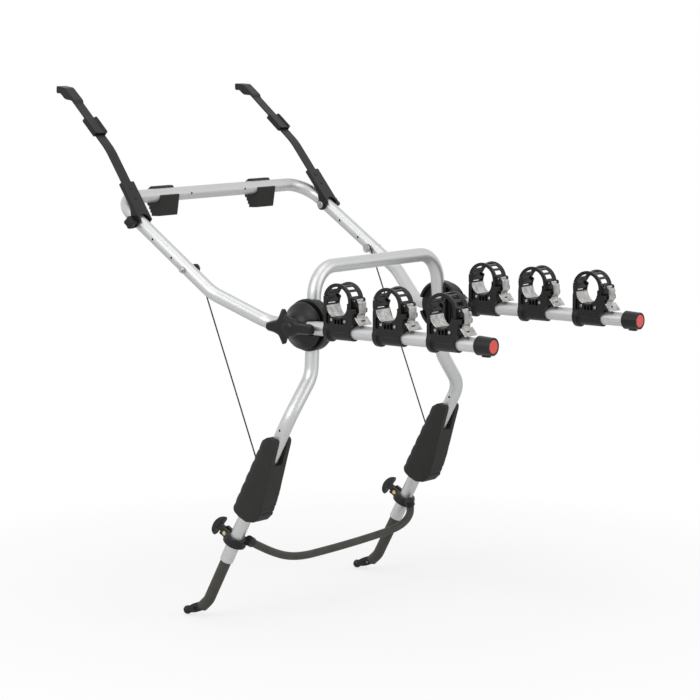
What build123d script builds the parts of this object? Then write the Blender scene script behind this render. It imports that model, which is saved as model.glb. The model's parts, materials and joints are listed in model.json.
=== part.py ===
from build123d import *

import os
from math import asin, atan2, cos, degrees, hypot, radians, sin, tan

# Trunk mounted bike rack, in millimetres: +X to the right, +Y to the car, +Z up.
# The origin is midway between the two faces of the foot covers that rest on the bumper.

sides = {"left": -1, "right": 1}

# Clearances
seat_gap = 0.2  # between fitted pieces of one body
clear_gap = 0.4  # between pieces that move past each other
turn_gap = 0.05  # round a shaft that turns in its bore
overrun = 5.0  # how far a cut runs past what it cuts

# Tubes
tube_diameter = 28.0
lower_tube_wall = 2.2
upper_tube_wall = 1.6
bend_radius = 60.0
small_hole_diameter = 5.0

# Lower frame centre line: half widths, and places from the hinge axis
handle_half_width = 196.5
handle_rise = 111.5
handle_forward = 1.5
upright_half_width = 212.5
upright_drop = 101.5
upright_back = 2.0
leg_half_width = 276.0
leg_back = 0.4
leg_drop = 176.5
leg_tilt = 28.74
leg_length = 354.6
leg_hole_station = 31.0

# Foot covers
cover_top_station = 70.0
cover_length = 177.0
cover_half_width = 25.0
cover_face = 28.0
cover_wave = 3.0
cover_waves = 6
cover_back = 40.0
cover_corner_radius = 9.0
cover_rear_round = 17.0
cover_front_round = 7.0
cover_back_shares = ((0.52, 0.0), (0.6, 0.3), (0.78, 0.58), (0.97, 0.78), (0.94, 0.93))
cover_notch_half_width = 12.5
cover_notch_depth = 46.0
cover_rib_pitch = 12.5
cover_rib_gap = 3.0
cover_rib_depth = 3.0
cover_rib_count = 3

# Cable anchors in the covers
anchor_station = 134.0
anchor_head_diameter = 10.0
anchor_head_thickness = 6.0
anchor_shank_diameter = 5.0

# Leg collars, their brass cross nuts and their knobs
collar_station = 303.0
collar_length = 16.0
collar_outer_diameter = 42.0
collar_rim_diameter = 49.0
collar_rim_length = 4.0
fork_reach = 36.0
fork_half_width = 11.0
fork_slot_half_width = 3.2
cross_nut_reach = 24.5
cross_nut_diameter = 9.0
knob_stem_diameter = 13.0
knob_spindle_diameter = 6.0
knob_head_reach = 47.0
knob_head_thickness = 13.0
knob_head_length = 44.0
knob_head_width = 17.0
knob_turn = -69.0
knob_bow_radius = 27.0
hose_ear_length = 11.0
hose_ear_wall = 2.5
hose_ear_back = 10.0
hose_ear_reach = 21.0
hose_ear_inset = 14.0

# Hook rods and foot hooks
rod_diameter = 23.0
rod_top_station = 200.0
rod_bend_station = 458.0
rod_bend_radius = 45.0
rod_end_turn = 20.0
rod_end_length = 24.0
rod_socket_depth = 16.0
rod_socket_diameter = 10.0
hook_plate_height = 17.0
hook_plate_width = 12.0
hook_plate_length = 41.0
hook_upper_shares = ((0.0, 0.65), (0.3, 0.93), (0.62, 1.12), (0.86, 1.2))
hook_lower_shares = ((0.0, -0.3), (0.25, -0.3), (0.52, -0.05), (0.9, 0.5))
hook_hole_share = (0.35, 0.25)
hook_hole_length = 11.0
hook_hole_width = 6.0
hook_hole_turn = 35.0
hook_tip_share = (0.98, 1.0)
hook_tip_diameter = 18.0

# Hose between the collars
hose_diameter = 16.5
hose_arc_share = 0.45

# Hinge stack, measured outward from the upright's centre line
base_disc_offset = 9.1
base_disc_thickness = 12.0
base_radius = 52.0
base_rim_width = 6.0
base_rim_depth = 11.0
base_notch_half_angle = 17.0
base_notch_depth = 8.0
saddle_half_width = 20.0
saddle_half_height = 42.0
saddle_depth = 14.0
base_edge_radius = 3.0
eye_radius = 20.0
eye_thickness = 8.0
eye_neck_half_width = 12.0
eye_reach = 55.0
cap_disc_thickness = 4.0
hinge_bolt_diameter = 10.0
hinge_head_diameter = 18.0
hinge_head_thickness = 4.7

# Hinge cover and star knob
hinge_cover_depth = 30.2
hinge_cover_face_radius = 20.0
hinge_cover_edge = 5.0
hinge_cover_lower_depth = 27.0
hinge_cover_lower_radius = 42.0
arm_inset = 13.2
trough_reach = 59.4
trough_depth = 22.0
trough_half_width = 15.0
star_hub_radius = 17.0
star_hub_depth = 20.5
star_wing_depth = 13.5
star_wing_start = 2.5
star_long_half = 59.0
star_long_height = 22.0
star_waist_height = 17.0
star_short_half = 36.0
star_short_width = 20.0
star_short_tip = 6.0
star_corner_radius = 5.0
hinge_bolt_thread = 14.0

# Upper frame centre line, from the hinge axis
upper_root_inset = 12.6
upper_root_length = 33.2
upper_knee_half_width = 296.5
upper_knee_forward = 186.0
upper_knee_rise = 57.5
upper_slope = 33.5
upper_leg_length = 317.2
cable_bolt_station = 77.1
upper_hole_stations = (117.1, 179.1)
strap_pivot_station = 238.1
crossbar_hole_half_width = 84.5

# Window pads on the crossbar
pad_half_width = 28.0
pad_centre = 153.0
pad_height = 44.0
pad_reach = 27.0
pad_outline_shares = (
    (-0.37, -0.98),
    (-0.63, -0.02),
    (0.11, 0.43),
    (0.52, 0.42),
    (1.0, 0.2),
    (0.96, -0.36),
)
pad_foot_share = (0.44, -1.0)
pad_tooth = 3.5
pad_teeth = 3

# Stay cables and their bolts
cable_diameter = 3.0
cable_wrap_angle = 205.0
cable_start_reach = 30.0
bush_radius = 6.3
bush_length = 10.3
cable_bolt_diameter = 8.0
cable_bolt_overhang = 9.5
cable_nut_radius = 7.0
cable_nut_thickness = 6.0
cable_nut_sides = 6

# Hook straps
strap_angles = {"left": 55.6, "right": 50.6}
hook_reaches = {"left": 0.0, "right": 19.0}
pivot_bolt_diameter = 8.0
pivot_head_radius = 8.0
pivot_head_thickness = 5.0
bracket_inner_half_width = 14.6
bracket_wall = 3.0
bracket_web_offset = 15.5
bracket_web_start = 7.0
bracket_top = 84.0
bracket_corner_back = 7.0
bracket_round = 12.0
bracket_flange_start = 30.0
bracket_flange_offset = 9.0
rivet_stations = (46.0, 70.0)
rivet_radius = 4.0
rivet_height = 1.5
rivet_taper = 30.0
band_width = 26.0
band_thickness = 3.0
lower_band_start = 34.0
lower_band_bend = 165.0
lower_band_turn = 11.5
lower_band_radius = 150.0
adjuster_station = 40.5
adjuster_length = 44.5
adjuster_width = 34.0
adjuster_wall = 2.0
hook_straight = 91.0
hook_rise_length = 33.0
hook_rise_turn = 25.0
hook_plate_forward = 48.5
hook_forward_turn = 69.0
hook_lip = 8.0
hook_lip_turn = 55.0
hook_knee_radius = 12.0
hook_bend_radius = 6.0
hook_lip_radius = 4.0
strap_knob_hub_radius = 10.0
strap_knob_lobe_radius = 5.0
strap_knob_lobes = 4
strap_knob_reach = 13.0
strap_knob_thickness = 15.0
strap_knob_bore_share = 0.7
strap_knob_edge = 2.0

# Arms
arm_end = 455.0
end_cap_start = 436.0
end_cap_length = 36.5
end_cap_back_radius = 18.5
end_cap_front_radius = 17.0
end_cap_chamfer = 3.5
end_cap_tab_length = 16.0
end_cap_tab_width = 8.0
end_cap_tab_drop = 20.5
reflector_radius = 12.7
reflector_thickness = 3.0

# Cradles: stations of their walls along each arm, and their profile from the arm's axis
cradle_stations = {"left": (79.0, 201.4, 331.1), "right": (60.1, 187.5, 322.8)}
cradle_names = ("inner", "middle", "outer")
sleeve_length = 64.0
sleeve_wall = 4.0
sleeve_flange_radius = 22.5
sleeve_flange_length = 10.0
cradle_half_width = 20.0
wall_thickness = 10.0
saddle_centre_height = 52.0
saddle_radius = 24.5
saddle_lip = 5.0
upstand_wall = 1.6
catch_out = 73.0
catch_nose = 78.5
catch_bottom = 17.0
catch_nose_bottom = 38.5
catch_top = 47.4
wall_slant_height = 12.0
wall_slant = 2.0
strap_pivot_in = 5.6
strap_pivot_height = 60.0
ear_radius = 5.6
ear_thickness = 4.6
knuckle_radius = 5.0
trunnion_radius = 2.0
trunnion_length = 4.0
wall_dip = 9.0
strap_centre_height = 60.0
strap_outer_radius = 34.5
strap_thickness = 7.0
strap_rim_width = 4.0
strap_web_thickness = 3.4
strap_end_height = 48.0
strap_ear_clearance = 10.0
strap_left_angle = 175.0
strap_channel_start_angle = 14.0
strap_channel_end_angle = 150.0
strap_window_angle = 17.0
strap_window_pitch_angle = 26.0
strap_windows = 5
strap_window_half_width = 11.0
strap_window_first_angle = 19.0
lever_pivot_out = 73.5
lever_pivot_height = 63.0
lever_pin_radius = 1.5
lever_barrel_radius = 3.0
lever_lug_radius = 5.0
lever_lug_thickness = 3.4
lever_half_width = 11.0
lever_plate = 1.6
lever_face_out = 82.0
lever_face_top = 59.0
lever_face_bottom = 39.0
lever_kink_out = 76.0
lever_kink_height = 33.0
lever_tip_out = 90.0
lever_tip_height = 16.0
lever_tab_half_width = 19.0
lever_tab_share = 0.15
lever_slot_share = 0.55
lever_slot_half_length = 7.0
lever_slot_height = 3.6
lever_bend_radius = 2.5
liner_half_width = 20.5
liner_thickness = 1.2
liner_start_angle = 183.0
liner_end_angle = 248.0
clamp_screw_radius = 3.0
clamp_screw_height = 1.5
clamp_screw_depth = 4.0
clamp_screw_shares = ((0.3, 0.45), (0.75, 0.42))

os.makedirs("parts", exist_ok=True)


def write(piece, node):
    piece.part.label = node
    export_step(piece.part, f"parts/{node}.step")


# Worked out sizes
tube_radius = tube_diameter / 2
bore_radius = tube_radius + seat_gap / 2
lean = radians(leg_tilt)
pad_station = cover_top_station + cover_length / 2
hinge_y = leg_back - pad_station * sin(lean) - cover_face * cos(lean)
hinge_z = leg_drop + pad_station * cos(lean) - cover_face * sin(lean)
handle_share = handle_rise / (handle_rise + upright_drop)
hinge_tube_x = handle_half_width + (upright_half_width - handle_half_width) * handle_share
hinge_tube_y = handle_forward - (handle_forward + upright_back) * handle_share
base_disc_x = hinge_tube_x + base_disc_offset
eye_x = base_disc_x + base_disc_thickness + clear_gap
cover_x = eye_x + eye_thickness + clear_gap
knob_x = cover_x + hinge_cover_depth + clear_gap
arm_x = cover_x + arm_inset
upper_root_x = eye_x + upper_root_inset
hinge_bolt_radius = hinge_bolt_diameter / 2
arm_start = eye_radius + 3 * clear_gap
cap_start = base_radius + 2 * clear_gap
crossbar_y = hinge_y + upper_knee_forward + upper_leg_length * cos(radians(upper_slope))
crossbar_z = hinge_z + upper_knee_rise + upper_leg_length * sin(radians(upper_slope))
knee_slope = radians(upper_slope)


def leg_point(side, station, reach=0.0):
    """A point of a leg's middle plane: station along the leg from its upper bend, reach to the car."""
    y = hinge_y - leg_back + station * sin(lean) + reach * cos(lean)
    z = hinge_z - leg_drop - station * cos(lean) + reach * sin(lean)
    return Vector(side * leg_half_width, y, z)


def leg_section_plane(side, station):
    """Across a leg: local x to the car, normal down the leg."""
    return Plane(leg_point(side, station), x_dir=(0, cos(lean), sin(lean)), z_dir=(0, sin(lean), -cos(lean)))


def leg_profile_plane(side):
    """Along a leg, seen from its side: local x to the car, local y down the leg."""
    return Plane(leg_point(side, 0), x_dir=(0, cos(lean), sin(lean)), z_dir=(-1, 0, 0))


def leg_reach_plane(side, station, reach):
    """Square to the line that stands on a leg and points at the car: local x outward along X."""
    return Plane(leg_point(side, station, reach), x_dir=(1, 0, 0), z_dir=(0, cos(lean), sin(lean)))


def upper_leg_point(side, station, rise=0.0):
    """A point of an upper leg's middle plane: station from the knee, rise square to the leg."""
    y = hinge_y + upper_knee_forward + station * cos(knee_slope) - rise * sin(knee_slope)
    z = hinge_z + upper_knee_rise + station * sin(knee_slope) + rise * cos(knee_slope)
    return Vector(side * upper_knee_half_width, y, z)


def side_plane(side, x):
    """Square to the hinge axis at x outward: local x to the car, local y up."""
    return Plane((side * x, hinge_y, hinge_z), x_dir=(0, 1, 0), z_dir=(1, 0, 0))


def hinge_section_plane(side):
    """Through the hinge axis: local x outward, local y up."""
    return Plane((0, hinge_y, hinge_z), x_dir=(side, 0, 0), z_dir=(0, -side, 0))


def arm_plane(side, station):
    """Across an arm: normal away from the car."""
    return Plane((side * arm_x, hinge_y - station, hinge_z), x_dir=(1, 0, 0), z_dir=(0, -1, 0))


def arm_profile_plane(side, station):
    """Along an arm, seen from its side: local x away from the car, local y up."""
    return Plane((side * arm_x, hinge_y - station, hinge_z), x_dir=(0, -1, 0), z_dir=(-1, 0, 0))


hinge_axis = Axis((0, hinge_y, hinge_z), (1, 0, 0))

# Lower frame: one bent tube with holes for the hinge bolts, the anchors and the leg pins
frame_half = [
    leg_point(1, leg_length),
    leg_point(1, 0),
    Vector(upright_half_width, hinge_y - upright_back, hinge_z - upright_drop),
    Vector(handle_half_width, hinge_y + handle_forward, hinge_z + handle_rise),
]
frame_points = frame_half + [Vector(-p.X, p.Y, p.Z) for p in reversed(frame_half)]
with BuildPart() as lower_frame_tube:
    with BuildLine() as frame_line:
        FilletPolyline(*frame_points, radius=bend_radius)
    with BuildSketch(Plane(frame_line.line @ 0, z_dir=frame_line.line % 0)):
        Circle(tube_radius)
        Circle(tube_radius - lower_tube_wall, mode=Mode.SUBTRACT)
    sweep()
    for side in sides.values():
        hole_reach = tube_radius + overrun
        with BuildSketch(side_plane(side, hinge_tube_x)):
            Circle(hinge_bolt_radius + seat_gap)
        extrude(amount=hole_reach, both=True, mode=Mode.SUBTRACT)
        with BuildSketch(Plane(leg_point(side, leg_hole_station), z_dir=(1, 0, 0))):
            Circle(small_hole_diameter / 2)
        extrude(amount=hole_reach, both=True, mode=Mode.SUBTRACT)
        with BuildSketch(leg_reach_plane(side, anchor_station, 0)):
            Circle(anchor_shank_diameter / 2 + seat_gap)
        extrude(amount=hole_reach, mode=Mode.SUBTRACT)
write(lower_frame_tube, "lower_frame_tube")

# Foot covers: a waved face to the car, a bulging back with ribs, and a notch at the top
cover_end_station = cover_top_station + cover_length
wave_pitch = (cover_length - 2 * cover_corner_radius) / (2 * cover_waves)
wave_points = [
    (cover_face - cover_wave * (k % 2), cover_top_station + cover_corner_radius + wave_pitch * k)
    for k in range(2 * cover_waves + 1)
]
back_points = [(-cover_back * a, cover_top_station + cover_length * b) for a, b in cover_back_shares]
for name, side in sides.items():
    with BuildPart() as foot_cover:
        with BuildSketch(leg_profile_plane(side)):
            with BuildLine():
                Spline(*wave_points)
                Spline(*back_points)
                Polyline(
                    back_points[0],
                    (cover_face - cover_corner_radius, cover_top_station),
                    wave_points[0],
                )
                Polyline(
                    wave_points[-1],
                    (cover_face - cover_corner_radius, cover_end_station),
                    (-cover_back + 2 * cover_corner_radius, cover_end_station),
                    back_points[-1],
                )
            make_face()
        extrude(amount=cover_half_width, both=True)
        with BuildSketch(leg_section_plane(side, cover_top_station - overrun)) as cover_section:
            with Locations(((cover_face - cover_back) / 2, 0)):
                Rectangle(cover_face + cover_back, 2 * cover_half_width)
            fillet(cover_section.vertices().group_by(Axis.Y)[0], cover_rear_round)
            fillet(cover_section.vertices().group_by(Axis.Y)[-1], cover_front_round)
        extrude(amount=cover_length + 2 * overrun, mode=Mode.INTERSECT)
        with BuildSketch(leg_section_plane(side, cover_top_station - overrun)):
            Circle(bore_radius)
        extrude(amount=cover_length + 2 * overrun, mode=Mode.SUBTRACT)
        with BuildSketch(leg_section_plane(side, cover_top_station - overrun)):
            with Locations((-cover_back / 2 - tube_radius / 2, 0)):
                Rectangle(cover_back, 2 * cover_notch_half_width)
        extrude(amount=cover_notch_depth + overrun, mode=Mode.SUBTRACT)
        for k in range(cover_rib_count):
            rib_station = cover_end_station - cover_corner_radius - cover_rib_pitch * (k + 1)
            with BuildSketch(leg_profile_plane(side)):
                with Locations((-cover_back, rib_station)):
                    Rectangle(2 * cover_rib_depth, cover_rib_gap)
            extrude(amount=cover_half_width + overrun, both=True, mode=Mode.SUBTRACT)
        with BuildSketch(leg_reach_plane(side, anchor_station, 0)):
            Circle(anchor_shank_diameter / 2 + seat_gap)
        extrude(amount=2 * cover_face, mode=Mode.SUBTRACT)
    write(foot_cover, f"foot_cover_{name}")

# Leg collars: a ring that widens to a rim, a fork to the car and an ear that holds the hose
hose_ends = {
    name: leg_point(side, collar_station - hose_ear_back, -hose_ear_reach)
    - Vector(side * hose_ear_inset, 0, 0)
    for name, side in sides.items()
}
hose_points = [
    hose_ends["left"],
    (-200, 22, -175),
    (-117, 23, -202.5),
    (-5, 23.5, -203),
    (90, 23, -201),
    (170, 23.5, -198),
    (225, 23, -194),
    (257, 22.5, -182),
    (270, 21.5, -161.5),
    hose_ends["right"],
]
hose_vectors = [Vector(p) for p in hose_points]
hose_starts = {"left": hose_vectors[1] - hose_vectors[0], "right": hose_vectors[-2] - hose_vectors[-1]}
hose_radii = []
for before, here, after in zip(hose_vectors, hose_vectors[1:], hose_vectors[2:]):
    turn = radians((here - before).get_angle(after - here))
    hose_radii.append(hose_arc_share * min((here - before).length, (after - here).length) / tan(turn / 2))
with BuildLine() as hose_line:
    FilletPolyline(*hose_vectors, radius=hose_radii)
print("hose bend radii", [round(r, 1) for r in hose_radii])
print("hose length", round(sum(edge.length for edge in hose_line.edges()), 1))

collar_start = collar_station - collar_length / 2
for name, side in sides.items():
    ear_plane = Plane(hose_ends[name], z_dir=hose_starts[name])
    with BuildPart() as leg_collar:
        with BuildSketch(leg_section_plane(side, collar_start)):
            Circle(collar_outer_diameter / 2)
        with BuildSketch(leg_section_plane(side, collar_start + collar_length - collar_rim_length)):
            Circle(collar_rim_diameter / 2)
        loft()
        with BuildSketch(leg_section_plane(side, collar_start + collar_length - collar_rim_length)):
            Circle(collar_rim_diameter / 2)
        extrude(amount=collar_rim_length)
        with BuildSketch(leg_section_plane(side, collar_start)):
            with Locations((fork_reach / 2, 0)):
                Rectangle(fork_reach, 2 * fork_half_width)
        extrude(amount=collar_length)
        with BuildSketch(ear_plane.offset(-hose_ear_wall)):
            Circle(hose_diameter / 2 + hose_ear_wall)
        extrude(amount=hose_ear_length + hose_ear_wall)
        with BuildSketch(leg_section_plane(side, collar_start - cover_length / 2)):
            Circle(bore_radius)
        extrude(amount=cover_length, mode=Mode.SUBTRACT)
        with BuildSketch(Plane(hose_line.line @ 0, z_dir=hose_line.line % 0)):
            Circle(hose_diameter / 2 + seat_gap / 2)
        sweep(path=hose_line.line, mode=Mode.SUBTRACT)
        with BuildSketch(leg_section_plane(side, collar_start - overrun)):
            with Locations((fork_reach / 2 + tube_radius / 2, 0)):
                Rectangle(fork_reach, 2 * fork_slot_half_width)
        extrude(amount=collar_length + 2 * overrun, mode=Mode.SUBTRACT)
        with BuildSketch(Plane(leg_point(side, collar_station, cross_nut_reach), z_dir=(1, 0, 0))):
            Circle(cross_nut_diameter / 2 + seat_gap / 2)
        extrude(amount=fork_half_width + overrun, both=True, mode=Mode.SUBTRACT)
    write(leg_collar, f"leg_collar_{name}")

# Brass cross nuts, one through each fork, tapped for the knob's spindle
with BuildPart() as collar_screws:
    for side in sides.values():
        with BuildSketch(Plane(leg_point(side, collar_station, cross_nut_reach), z_dir=(1, 0, 0))):
            Circle(cross_nut_diameter / 2)
        extrude(amount=fork_half_width, both=True)
        with BuildSketch(leg_reach_plane(side, collar_station, cross_nut_reach - cross_nut_diameter)):
            Circle(knob_spindle_diameter / 2 + turn_gap)
        extrude(amount=2 * cross_nut_diameter, mode=Mode.SUBTRACT)
write(collar_screws, "collar_screws")

# Collar knobs: a bar with a bowed face on a square stem, and a spindle that presses on the leg
for name, side in sides.items():
    with BuildPart() as collar_knob:
        with BuildSketch(leg_reach_plane(side, collar_station, tube_radius + clear_gap)):
            Circle(knob_spindle_diameter / 2)
        extrude(amount=knob_head_reach - tube_radius)
        with BuildSketch(leg_reach_plane(side, collar_station, fork_reach + clear_gap)):
            Rectangle(knob_stem_diameter, knob_stem_diameter, rotation=knob_turn)
        extrude(amount=knob_head_reach - fork_reach)
        with BuildSketch(leg_reach_plane(side, collar_station, knob_head_reach)):
            SlotOverall(knob_head_length, knob_head_width, rotation=knob_turn)
        extrude(amount=knob_head_thickness)
        bow_centre = knob_head_reach + knob_head_thickness - knob_bow_radius
        bow_plane = leg_reach_plane(side, collar_station, bow_centre)
        bow_direction = bow_plane.x_dir.rotate(Axis((0, 0, 0), bow_plane.z_dir), knob_turn + 90)
        with BuildSketch(Plane(bow_plane.origin, x_dir=bow_plane.z_dir, z_dir=bow_direction)):
            Circle(knob_bow_radius)
        extrude(amount=knob_head_width, both=True, mode=Mode.INTERSECT)
    write(collar_knob, f"collar_knob_{name}")

# Hook rods: rubber covered rods that slide in the legs and turn to the car at their lower ends
for name, side in sides.items():
    rod_plane = leg_profile_plane(side)
    with BuildPart() as hook_rod:
        with BuildLine(rod_plane) as rod_line:
            FilletPolyline(
                (0, rod_top_station),
                (0, rod_bend_station),
                (
                    rod_end_length * sin(radians(rod_end_turn)),
                    rod_bend_station + rod_end_length * cos(radians(rod_end_turn)),
                ),
                radius=rod_bend_radius,
            )
        with BuildSketch(Plane(rod_line.line @ 0, z_dir=rod_line.line % 0)):
            Circle(rod_diameter / 2)
        sweep()
        rod_end = Plane(rod_line.line @ 1, x_dir=(1, 0, 0), z_dir=rod_line.line % 1)
        with BuildSketch(rod_end.offset(-rod_socket_depth)):
            Circle(rod_socket_diameter / 2 + seat_gap / 2)
        extrude(amount=rod_socket_depth + overrun, mode=Mode.SUBTRACT)
    write(hook_rod, f"hook_rod_{name}")

    # The flat hook: a peg in the rod, a plate with a slot, and a round tip
    hook_plane = Plane(rod_line.line @ 1, x_dir=rod_line.line % 1, z_dir=(1, 0, 0))
    with BuildPart() as foot_hook:
        with BuildSketch(rod_end.offset(seat_gap - rod_socket_depth)):
            Circle(rod_socket_diameter / 2)
        extrude(amount=rod_socket_depth)
        with BuildSketch(hook_plane):
            with BuildLine():
                Spline(*[(hook_plate_length * a, hook_plate_height * b) for a, b in hook_upper_shares])
                Spline(*[(hook_plate_length * a, hook_plate_height * b) for a, b in hook_lower_shares])
                for upper, lower in (
                    (hook_upper_shares[0], hook_lower_shares[0]),
                    (hook_upper_shares[-1], hook_lower_shares[-1]),
                ):
                    Line(
                        (hook_plate_length * upper[0], hook_plate_height * upper[1]),
                        (hook_plate_length * lower[0], hook_plate_height * lower[1]),
                    )
            make_face()
        extrude(amount=hook_plate_width / 2, both=True)
        with BuildSketch(hook_plane):
            with Locations((hook_plate_length * hook_hole_share[0], hook_plate_height * hook_hole_share[1])):
                SlotOverall(hook_hole_length, hook_hole_width, rotation=hook_hole_turn)
        extrude(amount=hook_plate_width, both=True, mode=Mode.SUBTRACT)
        tip = hook_plane.from_local_coords(
            (hook_plate_length * hook_tip_share[0], hook_plate_height * hook_tip_share[1], 0)
        )
        with Locations(tip):
            Sphere(hook_tip_diameter / 2)
    write(foot_hook, f"foot_hook_{name}")

# The hose that ties the two collars together
with BuildPart() as steady_hose:
    with BuildSketch(Plane(hose_line.line @ 0, z_dir=hose_line.line % 0)):
        Circle(hose_diameter / 2)
    sweep(path=hose_line.line)
write(steady_hose, "steady_hose")

# Hinge bases: a rimmed disc on a saddle that sits on the upright
for name, side in sides.items():
    upright_middle = Vector(side * hinge_tube_x, hinge_y + hinge_tube_y, hinge_z)
    upright_direction = Vector(
        side * (upright_half_width - handle_half_width),
        -(handle_forward + upright_back),
        -(handle_rise + upright_drop),
    )
    with BuildPart() as hinge_base:
        with BuildSketch(side_plane(side, base_disc_x)):
            Circle(base_radius)
        extrude(amount=side * base_disc_thickness)
        rims = hinge_base.edges().filter_by(GeomType.CIRCLE).sort_by(Axis.X)
        fillet(rims[-1 if side > 0 else 0], base_edge_radius)
        with BuildSketch(side_plane(side, base_disc_x)):
            Circle(base_radius)
            Circle(base_radius - base_rim_width, mode=Mode.SUBTRACT)
        extrude(amount=-side * base_rim_depth)
        with BuildSketch(side_plane(side, base_disc_x)):
            Rectangle(2 * saddle_half_width, 2 * saddle_half_height)
        extrude(amount=-side * saddle_depth)
        with BuildSketch(Plane(upright_middle, x_dir=(1, 0, 0), z_dir=upright_direction)):
            Circle(bore_radius)
        extrude(amount=base_radius + overrun, both=True, mode=Mode.SUBTRACT)
        with BuildSketch(side_plane(side, base_disc_x)):
            with BuildLine():
                notch_out = base_radius + overrun
                notch_in = base_radius - base_notch_depth
                notch_rise = tan(radians(base_notch_half_angle))
                Polyline(
                    (notch_in, -notch_in * notch_rise),
                    (notch_out, -notch_out * notch_rise),
                    (notch_out, notch_out * notch_rise),
                    (notch_in, notch_in * notch_rise),
                    close=True,
                )
            make_face()
        extrude(amount=-side * (base_rim_depth + overrun), mode=Mode.SUBTRACT)
        with BuildSketch(side_plane(side, hinge_tube_x)):
            Circle(hinge_bolt_radius + seat_gap / 2)
        extrude(amount=side * base_radius, mode=Mode.SUBTRACT)
    write(hinge_base, f"hinge_base_{name}")

# Bolts of the lower frame: the two hinge bolts and the two cable anchors
with BuildPart() as lower_frame_bolts:
    for side in sides.values():
        spread = (upright_half_width - handle_half_width) / (handle_rise + upright_drop)
        head_lean = hinge_head_diameter / 2 * spread
        head_x = hinge_tube_x - tube_radius - seat_gap - head_lean
        with BuildSketch(side_plane(side, head_x)):
            Circle(hinge_head_diameter / 2)
        with BuildSketch(side_plane(side, head_x - hinge_head_thickness)):
            Circle(hinge_head_diameter / 3)
        loft()
        with BuildSketch(side_plane(side, head_x)):
            Circle(hinge_bolt_radius)
        extrude(amount=side * (knob_x + hinge_bolt_thread - head_x))
        with BuildSketch(leg_reach_plane(side, anchor_station, cover_face + clear_gap)):
            Circle(anchor_head_diameter / 2)
        extrude(amount=anchor_head_thickness)
        with BuildSketch(leg_reach_plane(side, anchor_station, tube_radius - lower_tube_wall)):
            Circle(anchor_shank_diameter / 2)
        extrude(amount=cover_face + clear_gap - tube_radius + lower_tube_wall)
write(lower_frame_bolts, "lower_frame_bolts")

# Upper frame: one bent tube, with a closing disc and a welded eye plate at each end
upper_half = [
    Vector(upper_root_x, hinge_y + cap_start, hinge_z),
    Vector(upper_root_x, hinge_y + cap_start + upper_root_length, hinge_z),
    upper_leg_point(1, 0),
    upper_leg_point(1, upper_leg_length),
]
upper_points = upper_half + [Vector(-p.X, p.Y, p.Z) for p in reversed(upper_half)]
with BuildPart() as upper_frame_tube:
    with BuildLine() as upper_line:
        FilletPolyline(*upper_points, radius=bend_radius)
    with BuildSketch(Plane(upper_line.line @ 0, z_dir=upper_line.line % 0)):
        Circle(tube_radius)
        Circle(tube_radius - upper_tube_wall, mode=Mode.SUBTRACT)
    sweep()
    for side in sides.values():
        cap_point = (side * upper_root_x, hinge_y + cap_start, hinge_z)
        with BuildSketch(Plane(cap_point, x_dir=(1, 0, 0), z_dir=(0, 1, 0))):
            Circle(tube_radius)
        extrude(amount=cap_disc_thickness)
        with BuildSketch(side_plane(side, eye_x)):
            Circle(eye_radius)
            with Locations((eye_reach - eye_thickness / 2, 0)):
                Rectangle(eye_thickness, 2 * eye_neck_half_width)
            make_hull()
        extrude(amount=side * eye_thickness)
        with BuildSketch(side_plane(side, eye_x)):
            Circle(hinge_bolt_radius + turn_gap)
        extrude(amount=eye_thickness + overrun, both=True, mode=Mode.SUBTRACT)
        for station in upper_hole_stations:
            with BuildSketch(Plane(upper_leg_point(side, station), z_dir=(1, 0, 0))):
                Circle(small_hole_diameter / 2)
            extrude(amount=tube_radius + overrun, both=True, mode=Mode.SUBTRACT)
        with BuildSketch(Plane(upper_leg_point(side, cable_bolt_station), z_dir=(1, 0, 0))):
            Circle(cable_bolt_diameter / 2 + seat_gap / 2)
        extrude(amount=tube_radius + overrun, both=True, mode=Mode.SUBTRACT)
        with BuildSketch(Plane(upper_leg_point(side, strap_pivot_station), z_dir=(1, 0, 0))):
            Circle(pivot_bolt_diameter / 2 + seat_gap / 2)
        extrude(amount=tube_radius + overrun, both=True, mode=Mode.SUBTRACT)
        with BuildSketch(Plane((side * crossbar_hole_half_width, crossbar_y, crossbar_z), z_dir=(0, -1, 0))):
            Circle(small_hole_diameter / 2)
        extrude(amount=tube_radius + overrun, mode=Mode.SUBTRACT)
write(upper_frame_tube, "upper_frame_tube")

# Window pads: clips that wrap the crossbar from the car's side, with a toothed foot below
with BuildPart() as window_pads:
    for side in sides.values():
        pad_plane = Plane((side * pad_centre, crossbar_y, crossbar_z), x_dir=(0, 1, 0), z_dir=(1, 0, 0))
        pad_points = [(pad_reach * a, pad_height * b) for a, b in pad_outline_shares]
        foot = (pad_reach * pad_foot_share[0], pad_height * pad_foot_share[1])
        heel = pad_points[-1]
        edge = Vector(foot[0] - heel[0], foot[1] - heel[1], 0)
        for k in range(pad_teeth):
            along = (k + 1) / (pad_teeth + 1)
            pad_points.append((heel[0] + edge.X * along, heel[1] + edge.Y * along))
            pad_points.append((pad_points[-1][0] - pad_tooth, pad_points[-1][1]))
        with BuildSketch(pad_plane):
            with BuildLine():
                Polyline(*pad_points, foot, close=True)
            make_face()
        extrude(amount=pad_half_width, both=True)
        with BuildSketch(pad_plane):
            Circle(bore_radius)
        extrude(amount=pad_half_width + overrun, both=True, mode=Mode.SUBTRACT)
write(window_pads, "window_pads")

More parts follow.
